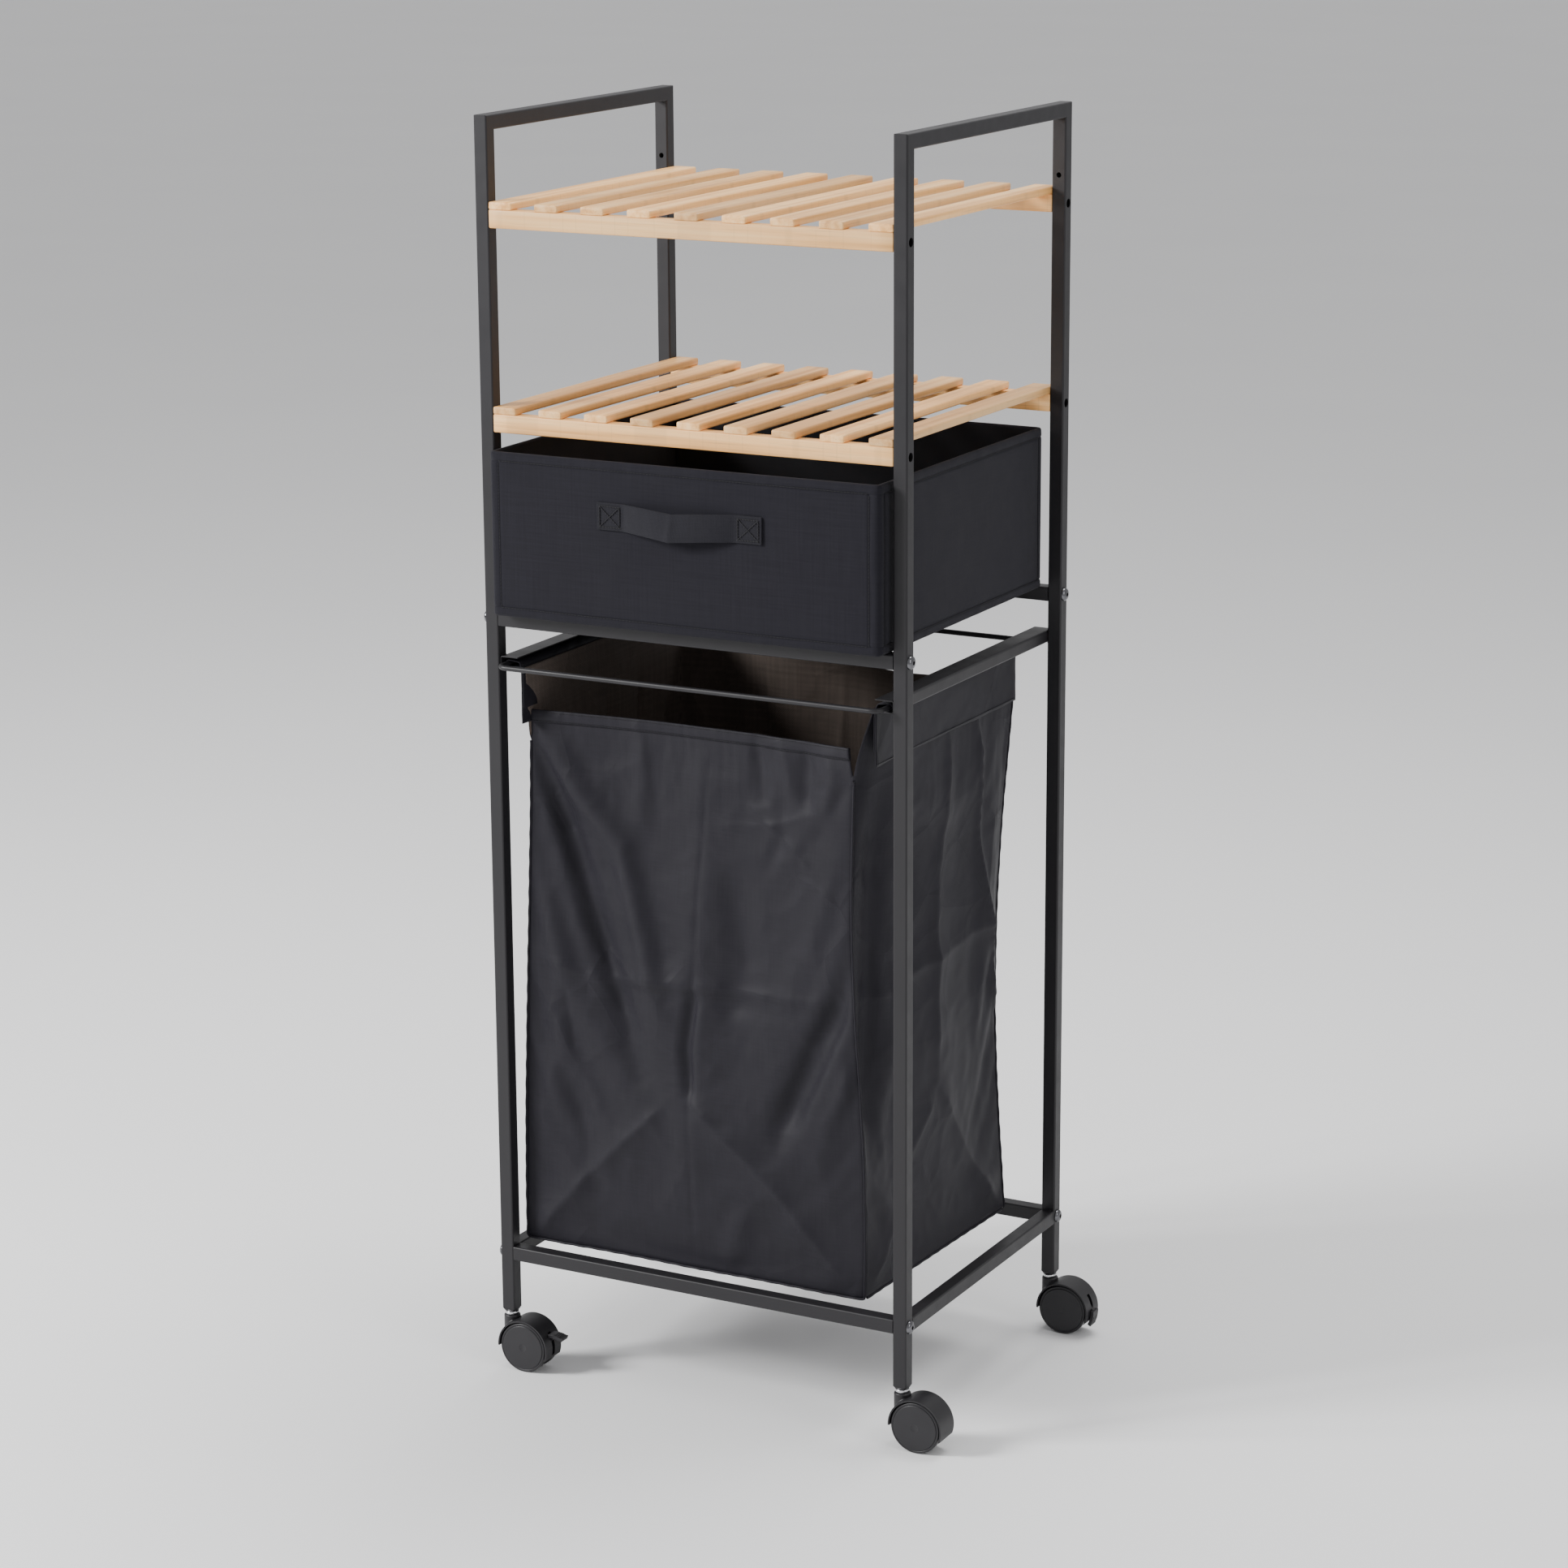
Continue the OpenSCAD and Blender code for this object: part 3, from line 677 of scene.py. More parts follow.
def drawer_stations():
    """Places round the drawer: x, y, outward x and y, distance along the side (None on a corner), its length."""
    seam = [CORNER, BORDER - 0.0017, BORDER - 0.0008, BORDER, BORDER + 0.0008, BORDER + 0.0017]
    clear, count = BORDER + 0.004, 88
    stops = []
    for start, turn, length in (
        ((-DRAWER_X, -DRAWER_Y), 0, 2 * DRAWER_X), ((DRAWER_X, -DRAWER_Y), 90, 2 * DRAWER_Y),
        ((DRAWER_X, DRAWER_Y), 180, 2 * DRAWER_X), ((-DRAWER_X, DRAWER_Y), 270, 2 * DRAWER_Y),
    ):
        a = math.radians(turn)
        along, out = (math.cos(a), math.sin(a)), (math.sin(a), -math.cos(a))
        runs = seam + [clear + (length - 2 * clear) * i / count for i in range(count + 1)]
        for s in runs + [length - m for m in seam[::-1]]:
            stops.append((start[0] + along[0] * s, start[1] + along[1] * s, *out, s, length))
        cx, cy = (start[k] + along[k] * (length - CORNER) - out[k] * CORNER for k in (0, 1))
        for i in range(1, 6):
            b = math.radians(turn - 90 + 90 * i / 6)
            nx, ny = math.cos(b), math.sin(b)
            stops.append((cx + CORNER * nx, cy + CORNER * ny, nx, ny, None, length))
    return stops


def fabric_push(x, y, z, kind, s, length):
    """How far the cloth stands out of its wall: sunk seams, puffed panels and small unevenness."""
    if kind == "in":
        return -0.0004 * fractal((x, y, z), 22, 8.0)
    if kind == "edge":
        return 0.0003 * fractal((x, y, 0.0), 60, 5.0)
    if kind == "under":
        return 0.0
    push = -SEAM_DEPTH * math.exp(-((min(abs(z - HEM_TOP), abs(z - HEM_FOOT)) / SEAM_WIDTH) ** 2))
    if s is None:
        return push
    edge = min(s, length - s)
    if HEM_FOOT < z < HEM_TOP:
        push -= SEAM_DEPTH * math.exp(-(((edge - BORDER) / SEAM_WIDTH) ** 2))
        if edge > BORDER:
            u = (edge - BORDER) / (length / 2 - BORDER)
            v = min(z - HEM_FOOT, HEM_TOP - z) / ((DRAWER_TOP - DRAWER_FLOOR) / 2 - HEM)
            push += 0.0006 * min(1, u * 9) * min(1, v * 4)
    push += 0.00045 * fractal((x, y, z * 1.4), 17, 2.0)
    if z > HEM_TOP or z < HEM_FOOT:
        push += 0.0005 + 0.0004 * fractal((x, y, 0.0), 60, 5.0)
    return push


def build_drawer_fabric():
    stations, path = drawer_stations(), drawer_wall()
    down = [0.0]
    for a, b in zip(path, path[1:]):
        down.append(down[-1] + math.hypot(b[0] - a[0], b[1] - a[1]))
    verts, uvs = [], []
    run, previous = 0.0, stations[0]
    for x, y, nx, ny, s, length in stations:
        run += math.hypot(x - previous[0], y - previous[1])
        previous = (x, y)
        for (inset, z, kind), fall in zip(path, down):
            offset = fabric_push(x, y, z, kind, s, length) - inset
            verts.append((x + nx * offset, DRAWER_MID_Y + y + ny * offset, z))
            uvs.append((run, fall))
    n, m = len(stations), len(path)
    faces = grid_faces(n, m, closed=True) + [[i * m + m - 1 for i in range(n)]]
    lining = [kind == "in" for _, _, kind in path[:-1]] * n + [False]
    shell = make("drawer_fabric", (verts, faces), "drawer", [CANVAS, LINING], uvs=uvs)
    for polygon, inside in zip(shell.data.polygons, lining):
        polygon.material_index = 1 if inside else 0
    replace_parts(shell, "drawer_front_panel", "drawer_back_panel", "drawer_left_panel", "drawer_right_panel")


def build_drawer_board():
    """A loose board in the bottom, covered in lining."""
    half_x, half_y = DRAWER_X - WALL - 0.0006, DRAWER_Y - WALL - 0.0006
    cols, rows = 60, 50
    verts = []
    for i in range(cols + 1):
        for j in range(rows + 1):
            x, y = mix(-half_x, half_x, i / cols), mix(-half_y, half_y, j / rows)
            edge = min(half_x - abs(x), half_y - abs(y))
            y += DRAWER_MID_Y
            sunk = 0.0012 * math.exp(-edge / 0.0015)
            z = INNER_FLOOR + 0.0008 - sunk + 0.0005 * fractal((x, y, 0), 14, 3.0)
            verts.append((x, y, z))
    part = verts, grid_faces(cols + 1, rows + 1, over=True)
    board = make("drawer_bottom_board", part, "drawer", LINING, uvs=[v[:2] for v in verts])
    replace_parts(board, "drawer_base_board")


def build_drawer_seams():
    lift = 0.0001
    seam_x, seam_y, out_x, out_y = DRAWER_X - BORDER, DRAWER_Y - BORDER, DRAWER_X + lift, DRAWER_Y + lift
    front, back = DRAWER_MID_Y - out_y, DRAWER_MID_Y + out_y
    near, far = DRAWER_MID_Y - seam_y, DRAWER_MID_Y + seam_y
    parts = []
    for z in (HEM_TOP, HEM_FOOT):
        parts.append(stitch_line([(-seam_x, front, z), (seam_x, front, z)], FRONT))
        for side in (-1, 1):
            parts.append(stitch_line([(side * out_x, near, z), (side * out_x, far, z)], RIGHT * side))
        parts.append(stitch_line([(-seam_x, back, z), (seam_x, back, z)], -FRONT))
    for side in (-1, 1):
        for x, y, out in (
            (seam_x, front, FRONT), (seam_x, back, -FRONT),
            (out_x, near, RIGHT * side), (out_x, far, RIGHT * side),
        ):
            parts.append(stitch_line([(side * x, y, HEM_FOOT), (side * x, y, HEM_TOP)], out))
    make("drawer_seam_thread", join_parts(parts), "drawer", THREAD_AND_RECESS_SHADE)


def build_strap():
    """Webbing sewn flat at both ends, slack and creased in the middle."""
    low, high = cad_box("drawer_pull_strap")
    front, z_mid = high.y, (low.z + high.z) / 2
    half, width = (high.x - low.x) / 2, high.z - low.z
    sewn, thick, kink = 0.027, 0.0017, -0.004
    free, stand = half - sewn, front - low.y - thick
    steps, across = 90, 12
    outline = [(j / across, 1) for j in range(across + 1)]
    outline += [(j / across, 0) for j in range(across, -1, -1)]
    verts, uvs = [], []
    for i in range(steps + 1):
        x = -half + 2 * half * i / steps
        off = drop = 0.0
        if -free < x < kink:
            drop = (x + free) / (kink + free)
            off = stand * (1 - (1 - drop) ** 1.7)
        elif kink <= x < free:
            drop = (free - x) / (free - kink)
            off = stand * (1 - (1 - drop) ** 2.0)
        off += 0.0008 * math.exp(-(((x - kink) / 0.0035) ** 2))
        for a, outer in outline:
            z = z_mid - width / 2 + width * a
            puff = 0.0003 * (1 - math.exp(-min(a, 1 - a) / 0.05))
            lean = (0.5 - a) * 0.0055 * drop
            wave = 0.00035 * fractal((x, 0, z), 60, 1.0)
            depth = off + lean + wave + (thick + puff if outer else 0.0001 - wave * 0.5)
            verts.append((x, front - max(0.0, depth), z - 0.0036 * drop ** 1.5))
            uvs.append((x, z))
    part = verts, flipped(tube_faces(steps + 1, len(outline)))
    strap = make("pull_strap", part, "drawer", WEBBING, uvs=uvs)
    soften(strap, 0.0004, 2, 50)
    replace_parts(strap, "drawer_pull_strap")

    margin, y = 0.003, front - thick - 0.0004
    z0, z1 = z_mid - width / 2 + margin, z_mid + width / 2 - margin
    parts = []
    for side in (-1, 1):
        a, b = side * (half - margin), side * (free + margin)
        box = [(a, y, z0), (b, y, z0), (b, y, z1), (a, y, z1), (a, y, z0)]
        for line in (box, [box[0], box[2]], [box[3], box[1]]):
            parts.append(stitch_line(line, FRONT, 0.0028, 0.0021, 0.00045))
    make("strap_box_stitches", join_parts(parts), "drawer", THREAD_AND_RECESS_SHADE)


build_drawer_fabric()
build_drawer_board()
build_drawer_seams()
build_strap()

# ---- casters ----

CASTERS = {"fl": (-1, -1), "fr": (1, -1), "rl": (-1, 1), "rr": (1, 1)}
WHEEL_LOW, WHEEL_HIGH = cad_box("fl_front_wheel")
WHEEL_R = (WHEEL_HIGH.z - WHEEL_LOW.z) / 2
TRAIL = (WHEEL_HIGH.x + WHEEL_LOW.x) / 2 + POST_X
WHEEL_IN = abs(WHEEL_HIGH.y + POST_Y)
WHEEL_OUT = abs(WHEEL_LOW.y + POST_Y)
HOOD_HALF = abs(cad_box("fl_caster_housing")[0].y + POST_Y)
NECK_TOP = cad_box("fl_caster_housing")[1].z
HOOD_R = WHEEL_R + 0.0025
HOOD_T = 0.0015
HOOD_START, HOOD_END = -20, 183
NECK_R = 0.008
WEB_HALF = 0.005
SLOT_HALF = 0.0023
SLOT_START, SLOT_END = -14, 36
PIN_AT, PIN_ANGLE = 0.022, 14
LEVER_IN = HOOD_R + 0.0006
LEVER_OUT = LEVER_IN + 0.0032


def caster_place(key):
    """The swivel axis of one caster, on the floor."""
    side, face = CASTERS[key]
    return Matrix.Translation((side * POST_X, face * POST_Y, 0))


AXLE = Matrix.Translation((TRAIL, 0, WHEEL_R))


def curved_wall(outer, inner, angles, widths, is_open):
    """A cylindrical wall about the axle, with its open cells left out."""
    rows, cols = len(angles), len(widths)
    verts, faces = [], []
    for r in (outer, inner):
        for a in angles:
            for y in widths:
                verts.append((r * math.cos(math.radians(a)), y, r * math.sin(math.radians(a))))
    skin = rows * cols

    def solid(i, j):
        return 0 <= i < rows - 1 and 0 <= j < cols - 1 and not is_open(i, j)

    for i in range(rows - 1):
        for j in range(cols - 1):
            if not solid(i, j):
                continue
            a, b, c, d = i * cols + j, i * cols + j + 1, (i + 1) * cols + j + 1, (i + 1) * cols + j
            faces.append([a, d, c, b])
            faces.append([a + skin, b + skin, c + skin, d + skin])
            for (di, dj), (p, q) in (((-1, 0), (a, b)), ((1, 0), (c, d)), ((0, -1), (d, a)), ((0, 1), (b, c))):
                if not solid(i + di, j + dj):
                    faces.append([p, q, q + skin, p + skin])
    return verts, faces


def hood_neck():
    """The round neck over the swivel axis, with a fillet where it meets the hood."""
    sides = 56
    turns = [2 * math.pi * k / sides for k in range(sides)]
    foot, under = NECK_R + 0.0028, -HOOD_T / 2
    verts = []

    def ring_on_hood(d, lift, highest):
        for a in turns:
            x = max(d * math.cos(a) - TRAIL, -HOOD_R * 0.998)
            z = WHEEL_R + math.sqrt(max(HOOD_R ** 2 - x * x, 0.0)) + lift
            verts.append((x + TRAIL, d * math.sin(a), min(z, highest)))

    for share in (0.04, 0.3, 0.55, 0.8):
        ring_on_hood(foot * share, under, NECK_TOP)
    for reach, lift in (
        (0.0028, under), (0.0028, -0.0004), (0.0016, 0.0001), (0.0007, 0.0007), (0.0002, 0.0015), (0.0, 0.0026),
    ):
        ring_on_hood(NECK_R + reach, lift, NECK_TOP - 0.004)
    for r, down in (
        (NECK_R, 0.0016), (NECK_R - 0.0002, 0.0008), (NECK_R - 0.0007, 0.0002),
        (NECK_R - 0.0014, 0), (0.0034, 0), (0.0031, 0.0004), (0.0031, 0.006),
    ):
        verts += [(r * math.cos(a), r * math.sin(a), NECK_TOP - down) for a in turns]
    return verts, tube_faces(len(verts) // sides, sides)


def web_plate(low, high, notched):
    """Half of the disc between the wheels, cut away below and, if notched, behind the lever's slot."""
    r = HOOD_R - HOOD_T / 2
    dip = math.degrees(math.asin(0.009 / r))
    outline = arc((0, 0), r, -dip, 180 + dip, 52)
    if notched:
        outline = arc((0, 0), r, -dip, SLOT_START, 3)
        outline += arc((0, 0), PIN_AT - 0.007, SLOT_START, SLOT_END, 8)
        outline += arc((0, 0), r, SLOT_END, 180 + dip, 40)
    return prism(outline, low, high, "y")


def build_housing(key, brake):
    widths = [-HOOD_HALF + inset for inset in (0.0, 0.0004, 0.0010)]
    widths += [-0.009, -0.0055, -SLOT_HALF - 0.0004, -SLOT_HALF]
    middle = len(widths) - 1
    widths += [-w for w in widths[::-1]]
    steps, step = 58, 3.5
    angles = [HOOD_START, HOOD_START + 0.7, HOOD_START + 1.8]
    angles += [HOOD_START + step * i for i in range(1, steps) if HOOD_START + step * i < HOOD_END - 2]
    angles += [HOOD_END - 1.8, HOOD_END - 0.7, HOOD_END]
    if brake:
        angles = sorted(set(angles) | {SLOT_START, SLOT_END})

    def is_open(i, j):
        return brake and j == middle and SLOT_START <= angles[i] < SLOT_END

    wall = curved_wall(HOOD_R, HOOD_R - HOOD_T, angles, widths, is_open)
    cuts = [-WEB_HALF, -SLOT_HALF, SLOT_HALF, WEB_HALF] if brake else [-WEB_HALF, WEB_HALF]
    webs = [web_plate(low, high, low == -SLOT_HALF) for low, high in zip(cuts, cuts[1:])]
    parts = [moved(part, AXLE) for part in [wall] + webs] + [hood_neck()]
    part = moved(join_parts(parts), caster_place(key))
    piece = soften(make(key + "_caster_hood", part, key + "_caster", CASTER), 0.00045, 3, 40)
    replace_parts(piece, key + "_caster_housing")


def wheel_profile():
    """Half of a wheel, from its inner face over the tread to the flat cap outside."""
    tread, cap, shoulder = WHEEL_OUT - 0.0004, WHEEL_R * 0.89, WHEEL_R - 0.0012
    profile = [(0.0021, WHEEL_IN), (WHEEL_R * 0.80, WHEEL_IN), (WHEEL_R * 0.80, WHEEL_IN + 0.0004)]
    profile += [(shoulder, WHEEL_IN + 0.0004)]
    profile += arc((shoulder, WHEEL_IN + 0.0016), 0.0012, -75, 0, 4)
    profile += arc((WHEEL_R - 0.0016, tread - 0.0016), 0.0016, 0, 90, 6)
    profile += [(cap + 0.0009, tread), (cap + 0.0005, tread - 0.00015), (cap + 0.0002, tread - 0.0004)]
    profile += [(cap, tread - 0.0004), (cap - 0.0001, tread), (cap - 0.0005, WHEEL_OUT - 0.0001)]
    profile += [(cap - 0.0011, WHEEL_OUT), (0.0042, WHEEL_OUT), (0.0036, WHEEL_OUT - 0.0001)]
    return profile + [(0.0030, WHEEL_OUT - 0.0004), (0, WHEEL_OUT - 0.0005)]


def build_wheel(key, face, name):
    verts, faces = lathe(wheel_profile(), 72, "y")
    verts = [(p[2], face * p[1], p[0]) for p in verts]
    part = moved((verts, flipped(faces) if face > 0 else faces), caster_place(key) @ AXLE)
    piece = soften(make(f"{key}_{name}_wheel_disc", part, f"{key}_{name}_wheel_body", TREAD), 0.00012, 2, 50)
    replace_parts(piece, f"{key}_{name}_wheel")


def build_lever(key, lift):
    """The brake lever, drawn pressed down over the hood's back and then turned up by its lift."""
    half, rib_half, middle = 0.006, 0.006 * 0.72, (LEVER_IN + LEVER_OUT) / 2
    outline = arc((0, 0), LEVER_OUT, 2, -24, 14) + arc((0, 0), LEVER_OUT + 0.00044, -26, -28, 2)
    paddle = prism(outline + arc((0, 0), LEVER_IN, -28, 2, 14), -half, half, "y")
    ribs = []
    for x, z in arc((0, 0), LEVER_OUT - 0.0001, -23, -11, 3):
        ribs.append(sweep([(x, -rib_half, z), (x, rib_half, z)], 0.00045, 8))
    pin = (PIN_AT * math.cos(math.radians(PIN_ANGLE)), PIN_AT * math.sin(math.radians(PIN_ANGLE)))
    outline = arc(pin, 0.0026, 40, 260, 14) + [(pin[0] + 0.0062, pin[1] - 0.0082)]
    outline += arc((0, 0), middle, -5, 1, 1) + [(pin[0] + 0.0022, pin[1] + 0.0014)]
    arm = prism(outline, -0.002, 0.002, "y")
    pivot = Matrix.Translation((pin[0], 0, pin[1]))
    shaft = moved(lathe([(0, -0.0045), (0.0015, -0.0045), (0.0015, 0.0045), (0, 0.0045)], 24, "y"), pivot)
    turn = pivot @ Matrix.Rotation(math.radians(-lift), 4, "Y") @ pivot.inverted()
    part = moved(join_parts([paddle, arm, shaft] + ribs), caster_place(key) @ AXLE @ turn)
    piece = soften(make(key + "_lever_paddle", part, key + "_lever", CASTER), 0.0005, 3, 35)
    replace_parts(piece, key + "_brake_lever")


for key in CASTERS:
    build_housing(key, key in ("fl", "rr"))
    build_wheel(key, -1, "front")
    build_wheel(key, 1, "rear")
build_lever("fl", 95)
build_lever("rr", 0)

# ---- laundry bag: sewn from one sheet, hung, and settled by cloth simulation ----

BAG_FLOOR = cad_box("bag_front")[0].z
FRONT_TOP = cad_box("bag_front")[1].z
BACK_TOP = cad_box("bag_back")[1].z
SIDE_TOP = cad_box("bag_left_side")[1].z
BAG_HALF = cad_box("bag_right_side")[1].x
BAG_FRONT = cad_box("bag_front")[0].y
BAG_REAR = cad_box("bag_back")[1].y
SLEEVE_LOW, SLEEVE_HIGH = cad_box("bag_right_sleeve")
ROD_LOW, ROD_HIGH = cad_box("hanger_side_rods")
ROD_X = ROD_HIGH.x - (ROD_HIGH.z - ROD_LOW.z) / 2
ROD_Z = (ROD_HIGH.z + ROD_LOW.z) / 2
SLIT_DROP = 0.030
CLOTH = 0.0006

WIDTH, DEPTH, HEIGHT = 2 * BAG_HALF, BAG_REAR - BAG_FRONT, FRONT_TOP - BAG_FLOOR
SLIT = 1 - SLIT_DROP / HEIGHT

# cells across the front, across a side, up the panels and above them on the sides
ACROSS, DEEP, TALL, ABOVE = 68, 52, 96, 8


def corner_line(which, v):
    """A vertical edge of the hanging bag at v, from 0 at the bottom to 1 at the front's hem."""
    arch = math.sin(math.pi * v)
    if which == "front_left":
        return Vector((mix(-0.202, -0.187, ease(v)), BAG_FRONT + 0.002 * v - 0.003 * arch, 0))
    if which == "front_right":
        bend = 0.0035 * math.sin(2.2 * math.pi * v)
        x = mix(0.167, 0.155, v) - 0.005 * ease((v - 0.94) / 0.06) + bend
        return Vector((x, BAG_FRONT - 0.002 * arch, 0))
    if which == "rear_right":
        return Vector((mix(0.178, BAG_HALF, v) - 0.008 * arch, BAG_REAR - 0.014 * arch, 0))
    return Vector((mix(-0.195, -BAG_HALF, v) + 0.005 * arch, BAG_REAR - 0.008 * arch, 0))


def front_point(u, v):
    a, b = corner_line("front_left", v), corner_line("front_right", v)
    p = a.lerp(b, u)
    across = math.sin(math.pi * u)
    p.y += 0.015 * across ** 0.9 * ease((v - 0.62) / 0.38)
    p.y -= 0.005 * across * math.sin(math.pi * min(1, v * 1.3)) ** 2
    p.z = mix(BAG_FLOOR, FRONT_TOP, v)
    return p


def back_point(u, v):
    a, b = corner_line("rear_left", v), corner_line("rear_right", v)
    p = a.lerp(b, u)
    p.y += 0.006 * math.sin(2 * math.pi * u) * v + 0.004 * math.sin(5 * math.pi * u) * v * v
    p.z = mix(BAG_FLOOR, BACK_TOP, v)
    return p


def side_point(side, s, v, w=0.0):
    """A side panel's point. s runs from front to rear, and w up from the hem's height to the rod."""
    front_name, rear_name = ("front_right", "rear_right") if side > 0 else ("front_left", "rear_left")
    z = mix(mix(BAG_FLOOR, FRONT_TOP, v), mix(BAG_FLOOR, BACK_TOP, v), s)
    z = mix(z, SIDE_TOP, w)
    slit_z, hung_x = FRONT_TOP - SLIT_DROP, side * (BAG_HALF - 0.0004)
    a, b = corner_line(front_name, min(v, SLIT)), corner_line(rear_name, v)
    t = max(0.0, (z - slit_z) / (SIDE_TOP - slit_z))
    a.x, a.y = mix(a.x, hung_x, t ** 1.3), mix(a.y, SLEEVE_LOW.y + 0.003, t)
    b.x, b.y = mix(b.x, hung_x, w), mix(b.y, SLEEVE_HIGH.y, w)
    p = a.lerp(b, s)
    hung = float(ease((z - 0.52) / 0.13)) * (1 - math.exp(-s * 0.28 / 0.022))
    p.x = mix(p.x, hung_x, hung)
    below = float(ease((0.66 - z) / 0.10))
    pleats = ((0.0050, 0.15, 0.055), (-0.0042, 0.30, 0.07), (0.0035, 0.55, 0.09), (-0.0020, 0.78, 0.05))
    pleat = sum(height * math.exp(-(((s - at) / width) ** 2)) for height, at, width in pleats)
    low_fade = float(ease((z - BAG_FLOOR) / 0.12))
    p.x += side * (pleat * low_fade - 0.004 * math.sin(math.pi * s) * math.sin(math.pi * min(1, v))) * below
    p.z = z
    return p


def bag_grid():
    """The bag's points, a table row for each, its faces and its points' numbers by place.

    A row holds the panel (0 front, 1 right, 2 back, 3 left, 4 bottom), u and v in it, and the weave map."""
    points, rows, faces = [], [], []
    index = {}
    slit_row = TALL - round(SLIT_DROP / HEIGHT * TALL)

    def add(key, point, panel, u, v, uv):
        index[key] = len(points)
        points.append(point)
        rows.append((panel, u, v, *uv))

    for j in range(TALL + 1):
        v = j / TALL
        h = v * HEIGHT
        for i in range(ACROSS + 1):
            u = i / ACROSS
            add(("front", i, j), front_point(u, v), 0, u, v, (u * WIDTH, h))
            add(("back", i, j), back_point(u, v), 2, u, v, (2 * WIDTH + DEPTH - u * WIDTH, h))
    for side, name, panel, edge, offset in (
        (1, "right", 1, ACROSS, WIDTH), (-1, "left", 3, 0, 2 * WIDTH + 2 * DEPTH),
    ):
        for j in range(TALL + ABOVE + 1):
            v = min(1.0, j / TALL)
            w = max(0.0, (j - TALL) / ABOVE)
            h = v * HEIGHT + w * (SIDE_TOP - FRONT_TOP)
            for i in range(DEEP + 1):
                s = i / DEEP
                if i == 0 and j <= slit_row:
                    index[(name, i, j)] = index[("front", edge, j)]
                elif i == DEEP and j <= TALL:
                    index[(name, i, j)] = index[("back", edge, j)]
                else:
                    uv = (offset + side * s * DEPTH, h)
                    add((name, i, j), side_point(side, s, v, w), panel, s, v + w * 0.08, uv)
    for j in range(DEEP + 1):
        for i in range(ACROSS + 1):
            sewn = {(i, 0): ("front", i, 0), (i, DEEP): ("back", i, 0)}.get((i, j))
            sewn = sewn or {(0, j): ("left", j, 0), (ACROSS, j): ("right", j, 0)}.get((i, j))
            if sewn:
                index[("bottom", i, j)] = index[sewn]
                continue
            u, v = i / ACROSS, j / DEEP
            a, b = points[index[("left", j, 0)]], points[index[("right", j, 0)]]
            add(("bottom", i, j), a.lerp(b, u), 4, u, v, (u * WIDTH, v * DEPTH))

    for name, columns, height, over in (
        ("front", ACROSS, TALL, False), ("right", DEEP, TALL + ABOVE, False), ("back", ACROSS, TALL, True),
        ("left", DEEP, TALL + ABOVE, True), ("bottom", ACROSS, DEEP, True),
    ):
        for j in range(height):
            for i in range(columns):
                corners = [(i, j), (i + 1, j), (i + 1, j + 1), (i, j + 1)]
                face = [index[(name, *c)] for c in corners]
                faces.append(face[::-1] if over else face)
    return points, np.array(rows), faces, index


# Creases left by folding the bag flat: points in a panel's (u, v), height outwards, width and form.
# A fold is a sharp line, a swell is a soft ridge or, with a negative height, a soft valley.
CENTRE_CREASE = ((0.55, 1.00), (0.525, 0.72), (0.515, 0.53), (0.50, 0.33), (0.51, 0.00))
FRONT_CREASES = (
    (((0.02, 0.95), (0.15, 0.73), (0.24, 0.57), (0.32, 0.41), (0.39, 0.32)), -0.0095, 0.013, "swell"),
    (((0.00, 1.00), (0.14, 0.87), (0.28, 0.77), (0.36, 0.60), (0.42, 0.42)), 0.0065, 0.014, "swell"),
    (CENTRE_CREASE, 0.0046, 0.034, "fold"),
    (CENTRE_CREASE, -0.0018, 0.0032, "fold"),
    (((0.515, 0.55), (0.49, 0.42), (0.50, 0.31)), -0.0050, 0.0065, "swell"),
    (((0.00, 0.56), (0.21, 0.522), (0.33, 0.528), (0.51, 0.534), (0.96, 0.54)), 0.0028, 0.009, "fold"),
    (((0.25, 0.505), (0.51, 0.512), (0.99, 0.515)), -0.0016, 0.010, "swell"),
    (((0.03, 0.01), (0.20, 0.15), (0.43, 0.31)), 0.0056, 0.015, "fold"),
    (((0.48, 0.34), (0.74, 0.19), (0.97, 0.01)), 0.0056, 0.016, "fold"),
    (((1.00, 0.58), (0.866, 0.45), (0.735, 0.25)), -0.0082, 0.015, "swell"),
    (((0.99, 0.46), (0.93, 0.34), (0.85, 0.20)), 0.0050, 0.014, "swell"),
    (((0.66, 0.88), (0.78, 0.825), (0.88, 0.775)), 0.0020, 0.006, "fold"),
    (((0.57, 0.83), (0.74, 0.842), (0.86, 0.87)), 0.0018, 0.006, "fold"),
    (((0.77, 0.93), (0.78, 0.83), (0.72, 0.74)), -0.0015, 0.008, "swell"),
    (((0.69, 1.00), (0.72, 0.87)), -0.0026, 0.009, "swell"),
    (((0.78, 1.00), (0.80, 0.89)), 0.0024, 0.009, "swell"),
    (((0.86, 1.00), (0.85, 0.87)), -0.0028, 0.009, "swell"),
    (((0.94, 1.00), (0.91, 0.85)), 0.0026, 0.010, "swell"),
    (((0.33, 1.00), (0.34, 0.80)), 0.0028, 0.012, "swell"),
    (((0.12, 0.50), (0.15, 0.38)), -0.0022, 0.006, "fold"),
    (((0.63, 0.78), (0.66, 0.60), (0.60, 0.42)), -0.0040, 0.020, "swell"),
    (((0.15, 0.33), (0.23, 0.09)), -0.0028, 0.012, "swell"),
    (((0.67, 0.15), (0.60, 0.01)), 0.0026, 0.012, "swell"),
    (((0.05, 0.70), (0.12, 0.45), (0.08, 0.22)), 0.0030, 0.014, "swell"),
)
